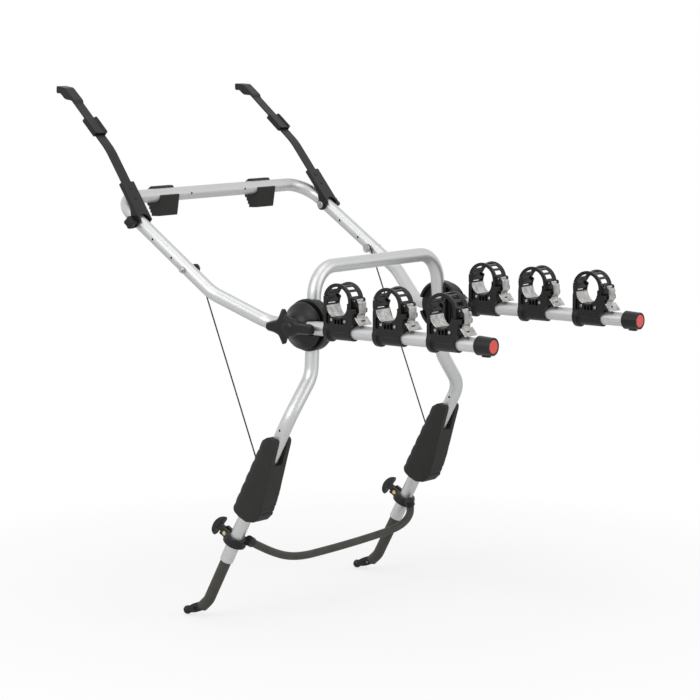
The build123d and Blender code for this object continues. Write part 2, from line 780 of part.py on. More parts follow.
# Bolts of the upper frame: two that carry the cables, and the two strap pivots
bush_out = upper_knee_half_width - tube_radius - seat_gap
nut_in = upper_knee_half_width + tube_radius + seat_gap
bracket_half_width = bracket_inner_half_width + bracket_wall
with BuildPart() as upper_frame_bolts:
    for side in sides.values():
        bolt_y = upper_leg_point(side, cable_bolt_station).Y
        bolt_z = upper_leg_point(side, cable_bolt_station).Z
        with BuildSketch(Plane((side * bush_out, bolt_y, bolt_z), z_dir=(-side, 0, 0))):
            Circle(bush_radius)
        extrude(amount=bush_length)
        with BuildSketch(Plane((side * (bush_out - bush_length), bolt_y, bolt_z), z_dir=(-side, 0, 0))):
            Circle(bush_radius + cable_diameter)
        extrude(amount=cable_diameter / 2)
        with BuildSketch(Plane((side * (bush_out - bush_length), bolt_y, bolt_z), z_dir=(side, 0, 0))):
            Circle(cable_bolt_diameter / 2)
        extrude(amount=bush_length + 2 * tube_radius + cable_bolt_overhang)
        with BuildSketch(Plane((side * nut_in, bolt_y, bolt_z), z_dir=(side, 0, 0))):
            RegularPolygon(cable_nut_radius, cable_nut_sides)
        extrude(amount=cable_nut_thickness)
        pivot = upper_leg_point(side, strap_pivot_station)
        pivot_in = pivot.X - side * (bracket_half_width + clear_gap)
        with BuildSketch(Plane((pivot_in, pivot.Y, pivot.Z), z_dir=(-side, 0, 0))):
            Circle(pivot_head_radius)
        extrude(amount=pivot_head_thickness)
        with BuildSketch(Plane((pivot_in, pivot.Y, pivot.Z), z_dir=(side, 0, 0))):
            Circle(pivot_bolt_diameter / 2)
        extrude(amount=2 * bracket_half_width + 2 * clear_gap + strap_knob_thickness * strap_knob_bore_share)
write(upper_frame_bolts, "upper_frame_bolts")

# Stay cables: straight from the anchors, then round the bushes of the upper frame's bolts
with BuildPart() as stay_cables:
    for side in sides.values():
        anchor_edge = (anchor_head_diameter + cable_diameter) / 2 + seat_gap
        cable_start = leg_point(side, anchor_station - anchor_edge, cable_start_reach)
        bolt = upper_leg_point(side, cable_bolt_station)
        wrap_radius = bush_radius + seat_gap + cable_diameter / 2
        span = hypot(bolt.Y - cable_start.Y, bolt.Z - cable_start.Z)
        slope = atan2(bolt.Z - cable_start.Z, bolt.Y - cable_start.Y) + asin(wrap_radius / span)
        first_angle = degrees(slope) + 90
        cable_plane = Plane((cable_start.X, bolt.Y, bolt.Z), x_dir=(0, 1, 0), z_dir=(1, 0, 0))
        with BuildLine(cable_plane):
            wrap = CenterArc((0, 0), wrap_radius, first_angle, -cable_wrap_angle)
            Line((cable_start.Y - bolt.Y, cable_start.Z - bolt.Z), wrap @ 0)
        with BuildSketch(Plane(cable_start, z_dir=(0, cos(slope), sin(slope)))):
            Circle(cable_diameter / 2)
        sweep()
    print("stay cable length", round(span + wrap_radius * radians(cable_wrap_angle), 1))
write(stay_cables, "stay_cables")


def strap_plane(name, side):
    """Along a hook strap, seen from the right: local x along the strap, local y square to it, to the back."""
    angle = radians(strap_angles[name])
    return Plane(
        upper_leg_point(side, strap_pivot_station), x_dir=(0, cos(angle), sin(angle)), z_dir=(1, 0, 0)
    )


# Hook straps: a channel on the pivot, a band, an adjuster and a second band that ends in the hook
band_offset = bracket_web_offset - seat_gap - band_thickness / 2
layer = band_thickness / 2 + seat_gap
slope_in = radians(lower_band_turn)
adjuster_entry = lower_band_bend + adjuster_station * cos(slope_in)
adjuster_drop = band_offset - adjuster_station * sin(slope_in) + layer * cos(slope_in)
for name, side in sides.items():
    channel_plane = strap_plane(name, side)
    with BuildPart() as strap_bracket:
        with BuildSketch(channel_plane):
            with BuildLine():
                web_out = bracket_web_offset + bracket_wall
                Polyline(
                    (-bracket_corner_back, web_out),
                    (bracket_top, web_out),
                    (bracket_top, bracket_flange_offset),
                    (bracket_flange_start, bracket_flange_offset),
                    (bracket_round, 0),
                    (-bracket_round, 0),
                    close=True,
                )
            make_face()
            Circle(bracket_round)
        extrude(amount=bracket_half_width, both=True)
        with BuildSketch(channel_plane):
            Rectangle(2 * bracket_top + 2 * overrun, 2 * bracket_web_offset)
        extrude(amount=bracket_inner_half_width, both=True, mode=Mode.SUBTRACT)
        web_plane = Plane(
            channel_plane.from_local_coords((bracket_web_start - bracket_inner_half_width, 0, 0)),
            x_dir=channel_plane.x_dir,
            z_dir=channel_plane.y_dir,
        )
        with BuildSketch(web_plane):
            Circle(bracket_inner_half_width)
            with Locations((-bracket_inner_half_width, 0)):
                Rectangle(2 * bracket_inner_half_width, 2 * bracket_inner_half_width)
        extrude(amount=web_out + overrun, mode=Mode.SUBTRACT)
        with BuildSketch(channel_plane):
            Circle(pivot_bolt_diameter / 2 + turn_gap)
        extrude(amount=bracket_half_width + overrun, both=True, mode=Mode.SUBTRACT)
        for station in rivet_stations:
            with BuildSketch(web_plane.offset(web_out)):
                with Locations((station - bracket_web_start + bracket_inner_half_width, 0)):
                    Circle(rivet_radius)
            extrude(amount=rivet_height, taper=rivet_taper)
    write(strap_bracket, f"strap_bracket_{name}")

    adjuster_angle = radians(strap_angles[name] - lower_band_turn)
    adjuster_origin = channel_plane.from_local_coords((adjuster_entry, adjuster_drop, 0))
    adjuster_plane = Plane(
        adjuster_origin,
        x_dir=(0, cos(adjuster_angle), sin(adjuster_angle)),
        z_dir=(1, 0, 0),
    )
    with BuildPart() as lower_band:
        lower_end = adjuster_plane.from_local_coords((adjuster_length - adjuster_wall, -layer, 0))
        bend = adjuster_plane.from_local_coords((-adjuster_station, -layer, 0))
        local_bend = channel_plane.to_local_coords(bend)
        with BuildLine() as band_line:
            FilletPolyline(
                channel_plane.from_local_coords((lower_band_start, local_bend.Y, 0)),
                bend,
                lower_end,
                radius=lower_band_radius,
            )
        with BuildSketch(Plane(band_line.line @ 0, x_dir=(1, 0, 0), z_dir=band_line.line % 0)):
            Rectangle(band_width, band_thickness)
        sweep()
    write(lower_band, f"lower_band_{name}")

    cavity_low = -layer - band_thickness / 2 - seat_gap
    cavity_high = layer + band_thickness / 2 + clear_gap
    cavity_width = band_width + 2 * clear_gap
    with BuildPart() as adjuster:
        with BuildSketch(Plane(adjuster_origin, x_dir=(1, 0, 0), z_dir=adjuster_plane.x_dir)):
            with Locations((0, -(cavity_low + cavity_high) / 2)):
                RectangleRounded(adjuster_width, cavity_high - cavity_low + 2 * adjuster_wall, adjuster_wall)
                Rectangle(cavity_width, cavity_high - cavity_low, mode=Mode.SUBTRACT)
        extrude(amount=adjuster_length)
    write(adjuster, f"adjuster_{name}")

    reach = hook_reaches[name]
    rise_turn = radians(hook_rise_turn)
    forward_turn = radians(hook_rise_turn - hook_forward_turn)
    lip_turn = radians(hook_rise_turn - hook_forward_turn - hook_lip_turn)
    hook_knee = Vector(hook_straight + reach, layer, 0)
    hook_top = hook_knee + Vector(cos(rise_turn), sin(rise_turn), 0) * hook_rise_length
    hook_front = hook_top + Vector(cos(forward_turn), sin(forward_turn), 0) * hook_plate_forward
    hook_end = hook_front + Vector(cos(lip_turn), sin(lip_turn), 0) * hook_lip
    hook_start = Vector(reach + adjuster_wall, layer, 0)
    hook_route = [hook_start, hook_knee, hook_top, hook_front, hook_end]
    with BuildPart() as hook_band:
        with BuildLine() as hook_line:
            FilletPolyline(
                *[adjuster_plane.from_local_coords(point) for point in hook_route],
                radius=[hook_knee_radius, hook_bend_radius, hook_lip_radius],
            )
        with BuildSketch(Plane(hook_line.line @ 0, x_dir=(1, 0, 0), z_dir=hook_line.line % 0)):
            Rectangle(band_width, band_thickness)
        sweep()
    write(hook_band, f"hook_band_{name}")

    # The lobed knob on the pivot bolt
    knob_plane = Plane(
        upper_leg_point(side, strap_pivot_station) + Vector(side * (bracket_half_width + clear_gap), 0, 0),
        z_dir=(side, 0, 0),
    )
    with BuildPart() as strap_knob:
        with BuildSketch(knob_plane):
            Circle(strap_knob_hub_radius)
            with PolarLocations(strap_knob_reach - strap_knob_lobe_radius, strap_knob_lobes):
                Circle(strap_knob_lobe_radius)
        extrude(amount=strap_knob_thickness)
        fillet(strap_knob.faces().sort_by(Axis.X)[-1 if side > 0 else 0].edges(), strap_knob_edge)
        with BuildSketch(knob_plane):
            Circle(pivot_bolt_diameter / 2 + turn_gap)
        extrude(amount=strap_knob_thickness * strap_knob_bore_share + clear_gap, mode=Mode.SUBTRACT)
    write(strap_knob, f"strap_knob_{name}")

# Arms: the tube, the hinge cover it is plugged in, the end cap with its reflector, and the star knob
for name, side in sides.items():
    with BuildPart() as arm_tube:
        with BuildSketch(arm_plane(side, arm_start)):
            Circle(tube_radius)
            Circle(tube_radius - upper_tube_wall, mode=Mode.SUBTRACT)
        extrude(amount=arm_end - arm_start)
    write(arm_tube, f"arm_tube_{name}")

    cover_out = cover_x + hinge_cover_depth
    lower_out = cover_x + hinge_cover_lower_depth
    edge_out = cover_x + hinge_cover_edge
    with BuildPart() as hinge_cover:
        with BuildSketch(hinge_section_plane(side)):
            with BuildLine():
                Polyline(
                    (cover_x, 0),
                    (cover_x, base_radius),
                    (edge_out, base_radius),
                    (lower_out, hinge_cover_lower_radius),
                    (lower_out, 0),
                    close=True,
                )
            make_face()
        revolve(axis=hinge_axis)
        with BuildSketch(side_plane(side, cover_x - overrun)):
            with Locations((0, base_radius)):
                Rectangle(4 * base_radius, 2 * base_radius)
        extrude(amount=side * (hinge_cover_depth + 2 * overrun), mode=Mode.SUBTRACT)
        with BuildSketch(hinge_section_plane(side)):
            with BuildLine():
                Polyline(
                    (cover_x, 0),
                    (cover_x, base_radius),
                    (edge_out, base_radius),
                    (cover_out, hinge_cover_face_radius),
                    (cover_out, 0),
                    close=True,
                )
            make_face()
        revolve(axis=hinge_axis)
        with BuildSketch(arm_plane(side, 0)):
            with Locations((0, -trough_depth / 2)):
                Rectangle(2 * trough_half_width, trough_depth)
        extrude(amount=trough_reach)
        split(bisect_by=side_plane(side, cover_x), keep=Keep.TOP if side > 0 else Keep.BOTTOM)
        with BuildSketch(arm_plane(side, arm_start - seat_gap)):
            Circle(bore_radius)
        extrude(amount=arm_end, mode=Mode.SUBTRACT)
        with BuildSketch(side_plane(side, cover_x)):
            Circle(hinge_bolt_radius + turn_gap)
        extrude(amount=side * (hinge_cover_depth + overrun), mode=Mode.SUBTRACT)
    write(hinge_cover, f"hinge_cover_{name}")

    with BuildPart() as star_knob:
        with BuildSketch(side_plane(side, knob_x)):
            Circle(star_hub_radius)
        extrude(amount=side * star_hub_depth)
        with BuildSketch(side_plane(side, knob_x + star_wing_start)) as wings:
            for turn in (-1, 1):
                with BuildLine():
                    Polyline(
                        (0, -star_waist_height / 2),
                        (turn * star_hub_radius, -star_waist_height / 2),
                        (turn * star_long_half, -star_long_height / 2),
                        (turn * star_long_half, star_long_height / 2),
                        (turn * star_hub_radius, star_waist_height / 2),
                        (0, star_waist_height / 2),
                        close=True,
                    )
                make_face()
            outer_corners = wings.vertices().filter_by(lambda v: abs(v.Y - hinge_y) > star_hub_radius)
            fillet(outer_corners, star_corner_radius)
            for turn in (-1, 1):
                with BuildLine():
                    Polyline(
                        (-star_short_width / 2, 0),
                        (-star_short_tip / 2, turn * star_short_half),
                        (star_short_tip / 2, turn * star_short_half),
                        (star_short_width / 2, 0),
                        close=True,
                    )
                make_face()
        extrude(amount=side * star_wing_depth)
        with BuildSketch(side_plane(side, knob_x)):
            Circle(hinge_bolt_radius + turn_gap)
        extrude(amount=side * (hinge_bolt_thread + clear_gap), mode=Mode.SUBTRACT)
    write(star_knob, f"star_knob_{name}")

    with BuildPart() as end_cap:
        with BuildSketch(arm_plane(side, end_cap_start)):
            Circle(end_cap_back_radius - end_cap_chamfer)
        with BuildSketch(arm_plane(side, end_cap_start + end_cap_chamfer)):
            Circle(end_cap_back_radius)
        loft()
        with BuildSketch(arm_plane(side, end_cap_start + end_cap_chamfer)):
            Circle(end_cap_back_radius)
        with BuildSketch(arm_plane(side, end_cap_start + end_cap_length)):
            Circle(end_cap_front_radius)
        loft()
        with BuildSketch(arm_plane(side, end_cap_start + end_cap_length / 3)):
            with Locations((0, -end_cap_tab_drop / 2)):
                Rectangle(end_cap_tab_width, end_cap_tab_drop)
        extrude(amount=end_cap_tab_length)
        with BuildSketch(arm_plane(side, end_cap_start - overrun)):
            Circle(bore_radius)
        extrude(amount=arm_end - end_cap_start + overrun + seat_gap, mode=Mode.SUBTRACT)
        with BuildSketch(arm_plane(side, end_cap_start + end_cap_length - reflector_thickness - seat_gap)):
            Circle(reflector_radius + seat_gap)
        extrude(amount=reflector_thickness + overrun, mode=Mode.SUBTRACT)
    write(end_cap, f"end_cap_{name}")

    with BuildPart() as reflector:
        with BuildSketch(arm_plane(side, end_cap_start + end_cap_length - reflector_thickness)):
            Circle(reflector_radius)
        extrude(amount=reflector_thickness)
    write(reflector, f"reflector_{name}")

# Cradles: three on each arm, all the same part
saddle_centre_out = wall_thickness + saddle_radius
upstand_out = saddle_centre_out + saddle_radius + upstand_wall
saddle_top = saddle_centre_height + saddle_lip
knuckle_half_width = cradle_half_width - ear_thickness
ear_reach = strap_pivot_in + ear_radius
strap_centre_out = strap_outer_radius
strap_inner_radius = strap_outer_radius - strap_thickness
channel_depth = (strap_thickness - strap_web_thickness) / 2
channel_half_width = cradle_half_width - strap_rim_width
lug_in = lever_half_width + clear_gap


def sector_points(radius_in, radius_out, first, last):
    """Corners and arc middles of a ring sector round the arched strap's centre."""
    def at(radius, angle):
        return (
            strap_centre_out + radius * cos(radians(angle)),
            strap_centre_height + radius * sin(radians(angle)),
        )
    middle = (first + last) / 2
    return (
        (at(radius_out, first), at(radius_out, middle), at(radius_out, last)),
        (at(radius_in, last), at(radius_in, middle), at(radius_in, first)),
    )


def cradle_base_part(side, station):
    """The saddle with its sleeve on the arm, its hinge ears and its catch."""
    across = arm_plane(side, station)
    along = arm_profile_plane(side, station)
    with BuildPart() as base:
        with BuildSketch(across) as sleeve_section:
            Circle(bore_radius + sleeve_wall)
        extrude(to_extrude=sleeve_section.sketch, amount=sleeve_length)
        with BuildSketch(across) as flange_section:
            Circle(sleeve_flange_radius)
        extrude(to_extrude=flange_section.sketch, amount=sleeve_flange_length)
        with BuildSketch(along) as body_section:
            with BuildLine() as outline:
                Polyline(
                    (0, 0),
                    (0, saddle_top - wall_slant_height),
                    (wall_slant, saddle_top),
                    (strap_pivot_in - ear_radius, strap_pivot_height),
                    (strap_pivot_in + ear_radius, strap_pivot_height),
                    (wall_thickness, saddle_top),
                    (upstand_out, saddle_top),
                    (upstand_out, catch_top),
                    (catch_nose, catch_top),
                    (catch_nose, catch_nose_bottom),
                    (catch_out, catch_nose_bottom),
                    (catch_out, catch_bottom),
                    (upstand_out, 0),
                    close=True,
                )
            make_face(outline.edges())
            with Locations((strap_pivot_in, strap_pivot_height)):
                Circle(ear_radius)
            with Locations((saddle_centre_out, saddle_centre_height)):
                Circle(saddle_radius, mode=Mode.SUBTRACT)
            with Locations((saddle_centre_out, saddle_centre_height + saddle_radius)):
                Rectangle(2 * saddle_radius, 2 * saddle_radius, mode=Mode.SUBTRACT)
        extrude(to_extrude=body_section.sketch, amount=cradle_half_width, both=True)
        with BuildSketch(across) as bore_section:
            Circle(bore_radius)
        extrude(to_extrude=bore_section.sketch, amount=catch_out + overrun, mode=Mode.SUBTRACT)
        with BuildSketch(along) as knuckle_room:
            with Locations((ear_reach / 2, strap_pivot_height - wall_dip + strap_pivot_height / 2)):
                Rectangle(ear_reach + 2 * seat_gap, strap_pivot_height)
        extrude(to_extrude=knuckle_room.sketch, amount=knuckle_half_width, both=True, mode=Mode.SUBTRACT)
        with BuildSketch(along) as trunnion_room:
            with Locations((strap_pivot_in, strap_pivot_height)):
                Circle(trunnion_radius + turn_gap)
        trunnion_reach = knuckle_half_width + trunnion_length
        extrude(to_extrude=trunnion_room.sketch, amount=trunnion_reach, both=True, mode=Mode.SUBTRACT)
        with BuildSketch(along) as liner_room:
            with BuildLine() as liner_edge:
                liner_outline(seat_gap)
            make_face(liner_edge.edges())
        extrude(
            to_extrude=liner_room.sketch,
            amount=cradle_half_width + overrun,
            both=True,
            mode=Mode.SUBTRACT,
        )
        with BuildSketch(along.offset(cradle_half_width - clamp_screw_depth)) as screw_room:
            with Locations(*clamp_screw_places):
                Circle(clamp_screw_radius + seat_gap / 2)
        extrude(to_extrude=screw_room.sketch, amount=clamp_screw_depth + overrun, mode=Mode.SUBTRACT)
    return base


def liner_outline(gap):
    """The liner's ring sector in the saddle, drawn gap larger all round."""
    edge_angle = degrees(gap / saddle_radius)
    first = liner_start_angle - edge_angle
    last = liner_end_angle + edge_angle
    centre = (saddle_centre_out, saddle_centre_height)
    inner = CenterArc(centre, saddle_radius - gap, first, last - first)
    outer = CenterArc(centre, saddle_radius + liner_thickness + gap, first, last - first)
    Line(inner @ 0, outer @ 0)
    Line(inner @ 1, outer @ 1)


clamp_screw_places = [(catch_out * a, saddle_centre_height * b) for a, b in clamp_screw_shares]


def cradle_strap_part(side, station):
    """The arched strap: rims and a pierced web, a hinge knuckle with trunnions, and lugs for the lever."""
    along = arm_profile_plane(side, station)
    with BuildPart() as strap:
        outer, inner = sector_points(strap_inner_radius, strap_outer_radius, 0, strap_left_angle)
        strap_right = (strap_centre_out + strap_outer_radius, strap_end_height)
        strap_right_in = (strap_centre_out + strap_inner_radius, strap_end_height)
        with BuildSketch(along) as arch:
            with BuildLine() as arch_line:
                ThreePointArc(*outer)
                Line(outer[2], inner[0])
                ThreePointArc(*inner)
                Polyline(inner[2], strap_right_in, strap_right, outer[0])
            make_face(arch_line.edges())
        extrude(to_extrude=arch.sketch, amount=cradle_half_width, both=True)
        for radius_in, radius_out in (
            (strap_inner_radius - overrun, strap_inner_radius + channel_depth),
            (strap_outer_radius - channel_depth, strap_outer_radius + overrun),
        ):
            outer, inner = sector_points(
                radius_in,
                radius_out,
                strap_channel_start_angle,
                strap_channel_end_angle,
            )
            with BuildSketch(along) as channel:
                with BuildLine() as channel_line:
                    ThreePointArc(*outer)
                    Line(outer[2], inner[0])
                    ThreePointArc(*inner)
                    Line(inner[2], outer[0])
                make_face(channel_line.edges())
            extrude(to_extrude=channel.sketch, amount=channel_half_width, both=True, mode=Mode.SUBTRACT)
        for k in range(strap_windows):
            first = strap_window_first_angle + k * strap_window_pitch_angle
            outer, inner = sector_points(
                strap_inner_radius - overrun, strap_outer_radius + overrun, first, first + strap_window_angle
            )
            with BuildSketch(along) as window:
                with BuildLine() as window_line:
                    Polyline(outer[0], outer[2], inner[0], inner[2], close=True)
                make_face(window_line.edges())
            extrude(to_extrude=window.sketch, amount=strap_window_half_width, both=True, mode=Mode.SUBTRACT)
        for end in (-1, 1):
            with BuildSketch(along.offset(end * (knuckle_half_width - clear_gap))) as ear_room:
                with Locations((strap_pivot_in, strap_pivot_height)):
                    Circle(strap_ear_clearance)
            extrude(to_extrude=ear_room.sketch, amount=end * cradle_half_width, mode=Mode.SUBTRACT)
        with BuildSketch(along) as knuckle:
            with Locations((strap_pivot_in, strap_pivot_height)):
                Circle(knuckle_radius)
        extrude(to_extrude=knuckle.sketch, amount=knuckle_half_width - clear_gap, both=True)
        with BuildSketch(along) as trunnion:
            with Locations((strap_pivot_in, strap_pivot_height)):
                Circle(trunnion_radius)
        extrude(
            to_extrude=trunnion.sketch,
            amount=knuckle_half_width + trunnion_length - clear_gap,
            both=True,
        )
        for end in (-1, 1):
            with BuildSketch(along.offset(end * lug_in)) as lug:
                with BuildLine() as lug_line:
                    Polyline(
                        (strap_centre_out + strap_outer_radius - strap_thickness / 2, strap_centre_height),
                        (lever_pivot_out, lever_pivot_height - lever_lug_radius),
                        (lever_pivot_out, lever_pivot_height + lever_lug_radius),
                        (
                            strap_centre_out + strap_outer_radius - strap_thickness,
                            lever_pivot_height + lever_lug_radius,
                        ),
                        close=True,
                    )
                make_face(lug_line.edges())
                with Locations((lever_pivot_out, lever_pivot_height)):
                    Circle(lever_lug_radius)
            extrude(to_extrude=lug.sketch, amount=end * lever_lug_thickness)
        with BuildSketch(along) as pin_room:
            with Locations((lever_pivot_out, lever_pivot_height)):
                Circle(lever_pin_radius + turn_gap)
        extrude(to_extrude=pin_room.sketch, amount=cradle_half_width, both=True, mode=Mode.SUBTRACT)
    return strap


def latch_lever_part(side, station):
    """The steel lever: its pin and barrel, a folded tongue that hooks the catch, and a tab with a slot."""
    along = arm_profile_plane(side, station)
    points = [
        (lever_pivot_out, lever_pivot_height),
        (lever_face_out, lever_face_top),
        (lever_face_out, lever_face_bottom),
        (lever_kink_out, lever_kink_height),
        (lever_tip_out, lever_tip_height),
    ]
    with BuildPart() as lever:
        with BuildLine(along) as tongue_line:
            FilletPolyline(*points, radius=lever_bend_radius)
        tongue_plane = Plane(tongue_line.line @ 0, x_dir=(1, 0, 0), z_dir=tongue_line.line % 0)
        with BuildSketch(tongue_plane) as tongue_section:
            Rectangle(2 * lever_half_width, lever_plate)
        sweep(sections=tongue_section.sketch, path=tongue_line.line)
        kink, tip = (along.from_local_coords((*p, 0)) for p in points[-2:])
        slant = tip - kink
        tab_start = kink + slant * lever_tab_share
        with BuildSketch(Plane(tab_start, x_dir=(1, 0, 0), z_dir=slant)) as tab_section:
            Rectangle(2 * lever_tab_half_width, lever_plate)
        extrude(to_extrude=tab_section.sketch, amount=slant.length * (1 - lever_tab_share))
        tab_plane = Plane(
            kink + slant * lever_slot_share,
            x_dir=(1, 0, 0),
            z_dir=slant.cross(Vector(1, 0, 0)),
        )
        with BuildSketch(tab_plane) as slot_section:
            SlotOverall(2 * lever_slot_half_length, lever_slot_height)
        extrude(to_extrude=slot_section.sketch, amount=overrun, both=True, mode=Mode.SUBTRACT)
        with BuildSketch(along) as barrel:
            with Locations((lever_pivot_out, lever_pivot_height)):
                Circle(lever_barrel_radius)
        extrude(to_extrude=barrel.sketch, amount=lever_half_width, both=True)
        with BuildSketch(along) as pin:
            with Locations((lever_pivot_out, lever_pivot_height)):
                Circle(lever_pin_radius)
        extrude(to_extrude=pin.sketch, amount=lug_in + lever_lug_thickness, both=True)
    return lever


for name, side in sides.items():
    for place, station in zip(cradle_names, cradle_stations[name]):
        write(cradle_base_part(side, station), f"cradle_base_{name}_{place}")
        write(cradle_strap_part(side, station), f"cradle_strap_{name}_{place}")
        write(latch_lever_part(side, station), f"latch_lever_{name}_{place}")
    with BuildPart() as cradle_liners:
        for station in cradle_stations[name]:
            with BuildSketch(arm_profile_plane(side, station)):
                with BuildLine():
                    liner_outline(0)
                make_face()
            extrude(amount=liner_half_width, both=True)
            screw_start = cradle_half_width - clamp_screw_depth + seat_gap
            with BuildSketch(arm_profile_plane(side, station).offset(screw_start)):
                with Locations(*clamp_screw_places):
                    Circle(clamp_screw_radius)
            extrude(amount=clamp_screw_depth + clamp_screw_height)
    write(cradle_liners, f"cradle_liners_{name}")
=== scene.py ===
# %% [markdown]
# # A trunk mounted bike rack, dressed for a studio picture
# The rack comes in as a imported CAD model: sixty rigid nodes that already move on their joints.
# This lesson keeps that frame and dresses it. Nodes whose shape is right keep their mesh and get
# rounded edges and a finish, and pieces that carry finer forms are built over the others.

import json
import math

import bmesh
import bpy
from mathutils import Matrix, Vector


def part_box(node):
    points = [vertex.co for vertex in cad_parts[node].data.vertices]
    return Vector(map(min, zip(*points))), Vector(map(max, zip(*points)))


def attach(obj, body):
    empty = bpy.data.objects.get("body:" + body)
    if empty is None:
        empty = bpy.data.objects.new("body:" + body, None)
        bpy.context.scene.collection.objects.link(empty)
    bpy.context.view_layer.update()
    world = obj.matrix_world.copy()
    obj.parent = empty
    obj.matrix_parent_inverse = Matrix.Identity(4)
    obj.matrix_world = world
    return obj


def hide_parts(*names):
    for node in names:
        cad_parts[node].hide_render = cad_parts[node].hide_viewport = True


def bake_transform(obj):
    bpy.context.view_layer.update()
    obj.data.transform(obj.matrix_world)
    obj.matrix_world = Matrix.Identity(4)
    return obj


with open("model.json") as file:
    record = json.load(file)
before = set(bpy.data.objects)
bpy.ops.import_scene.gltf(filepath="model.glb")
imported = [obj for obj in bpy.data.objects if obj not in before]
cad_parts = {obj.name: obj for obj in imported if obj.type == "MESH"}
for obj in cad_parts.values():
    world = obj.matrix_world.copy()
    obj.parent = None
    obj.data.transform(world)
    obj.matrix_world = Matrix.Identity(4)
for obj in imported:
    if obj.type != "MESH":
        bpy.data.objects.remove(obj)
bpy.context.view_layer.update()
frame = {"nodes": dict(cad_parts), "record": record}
bpy.context.scene.view_settings.view_transform = "Standard"
sides = {"left": -1, "right": 1}
places = ("inner", "middle", "outer")

# %% [markdown]
# ## The camera
# A product picture is taken from far off with a long lens, so that near and far cradles keep
# nearly one size. The camera could be parented to an empty that aims it, but a place worked out
# from an azimuth, a height angle and a distance is easier to read and to turn.

# %% Camera
aim = Vector((0, -0.02686, 0.2225))
azimuth = math.radians(-50.61)
elevation = math.radians(7.83)
distance = 5.05643
away = Vector(
    (
        math.sin(azimuth) * math.cos(elevation),
        -math.cos(azimuth) * math.cos(elevation),
        math.sin(elevation),
    )
)
camera_data = bpy.data.cameras.new("studio_camera")
camera_data.lens = 125.99
camera_data.sensor_width = 36
camera_data.clip_end = 50
camera = bpy.data.objects.new("studio_camera", camera_data)
camera.location = aim + distance * away
camera.rotation_euler = (-away).to_track_quat("-Z", "Y").to_euler()
bpy.context.collection.objects.link(camera)
bpy.context.scene.camera = camera
print("camera at", [round(value, 3) for value in camera.location])

# %% [markdown]
# ## The cords
# A rubber hose ties the two leg collars together, and two wire cables stop the upper frame from
# dropping. A hose could be a swept mesh, but a curve with a round bevel stays editable: its few
# control points are the route, and a NURBS spline of order three draws one smooth line by them.


# %% A helper for NURBS routes
def route_curve(name, points, radius=0.0, sides_round=10):
    """A curve of one open NURBS spline whose control points are the route's own points."""
    data = bpy.data.curves.new(name, "CURVE")
    data.dimensions = "3D"
    data.resolution_u = 16
    data.bevel_depth = radius
    data.bevel_resolution = sides_round
    spline = data.splines.new("NURBS")
    spline.points.add(len(points) - 1)
    for control, point in zip(spline.points, points):
        control.co = (*point, 1)
    spline.order_u = 3
    spline.use_endpoint_u = True
    curve = bpy.data.objects.new(name, data)
    bpy.context.collection.objects.link(curve)
    return curve


# %% The hose between the collars
hose_diameter = 0.0165
hose_route = [
    (-0.262, 0.0217, -0.1415),
    (-0.2, 0.022, -0.175),
    (-0.117, 0.023, -0.2025),
    (-0.005, 0.0235, -0.203),
    (0.09, 0.023, -0.201),
    (0.17, 0.0235, -0.198),
    (0.225, 0.023, -0.194),
    (0.257, 0.0225, -0.182),
    (0.27, 0.0215, -0.1615),
    (0.262, 0.0217, -0.1415),
]
hose = route_curve("ribless_hose", hose_route, hose_diameter / 2)
print("hose points", len(hose_route))

# %% [markdown]
# The cables are laid up from wire strands. A plain tube would do from across a room, but a close
# look shows the twist, so each cable follows a bare spline, and Geometry Nodes wind the strands
# round it: one circle of points that turns as it goes along is all that a lay of strands is.

# %% Cable routes, from the cover's anchor over the bush on the upper frame
cable_half_width = 0.276
cable_route = [
    (-0.01325, 0.02832),
    (0.14046, 0.4001),
    (0.14461, 0.41014),
    (0.15547, 0.40999),
    (0.15934, 0.39984),
    (0.15534, 0.39617),
]


def spline_path(name, points):
    """The points that Blender itself draws for a bare NURBS spline, as a plain mesh path."""
    curve = route_curve(name, points)
    bpy.context.view_layer.update()
    evaluated = curve.evaluated_get(bpy.context.evaluated_depsgraph_get())
    mesh = bpy.data.meshes.new_from_object(evaluated)
    bpy.data.objects.remove(curve)
    return mesh


# %% [markdown]
# ## Small builders
# Geometry Nodes lay the strands of the cables. A tree could be drawn by hand, but building it in
# the script keeps each size a named input. One class holds the tree under work, so that a step of
# it reads as one line.


# %% A class for node trees that make geometry
class Maker:
    """A geometry tree under work: named inputs first, then nodes one by one."""

    def __init__(self, name, **sizes):
        self.tree = bpy.data.node_groups.new(name, "GeometryNodeTree")
        self.tree.interface.new_socket("Geometry", in_out="INPUT", socket_type="NodeSocketGeometry")
        for label, value in sizes.items():
            kind = "NodeSocketInt" if isinstance(value, int) else "NodeSocketFloat"
            socket = self.tree.interface.new_socket(label, in_out="INPUT", socket_type=kind)
            socket.default_value = value
        self.tree.interface.new_socket(
            "Geometry", in_out="OUTPUT", socket_type="NodeSocketGeometry"
        )
        self.given = self.tree.nodes.new("NodeGroupInput")
        self.sizes = sizes

    def size(self, label):
        return self.given.outputs[label]

    def add(self, kind, settings=None, values=None, out=0):
        node = self.tree.nodes.new(kind)
        for key, value in (settings or {}).items():
            setattr(node, key, value)
        for key, value in (values or {}).items():
            if isinstance(value, bpy.types.NodeSocket):
                self.tree.links.new(value, node.inputs[key])
            else:
                node.inputs[key].default_value = value
        return node.outputs[out]

    def finish(self, geometry, finish=None):
        """Realize what was instanced, set its material and close the tree."""
        real = self.add("GeometryNodeRealizeInstances", values={0: geometry})
        dressed = self.add(
            "GeometryNodeSetMaterial", values={"Geometry": real, "Material": finish}
        )
        last = self.tree.nodes.new("NodeGroupOutput")
        self.tree.links.new(dressed, last.inputs[0])
        return self.tree


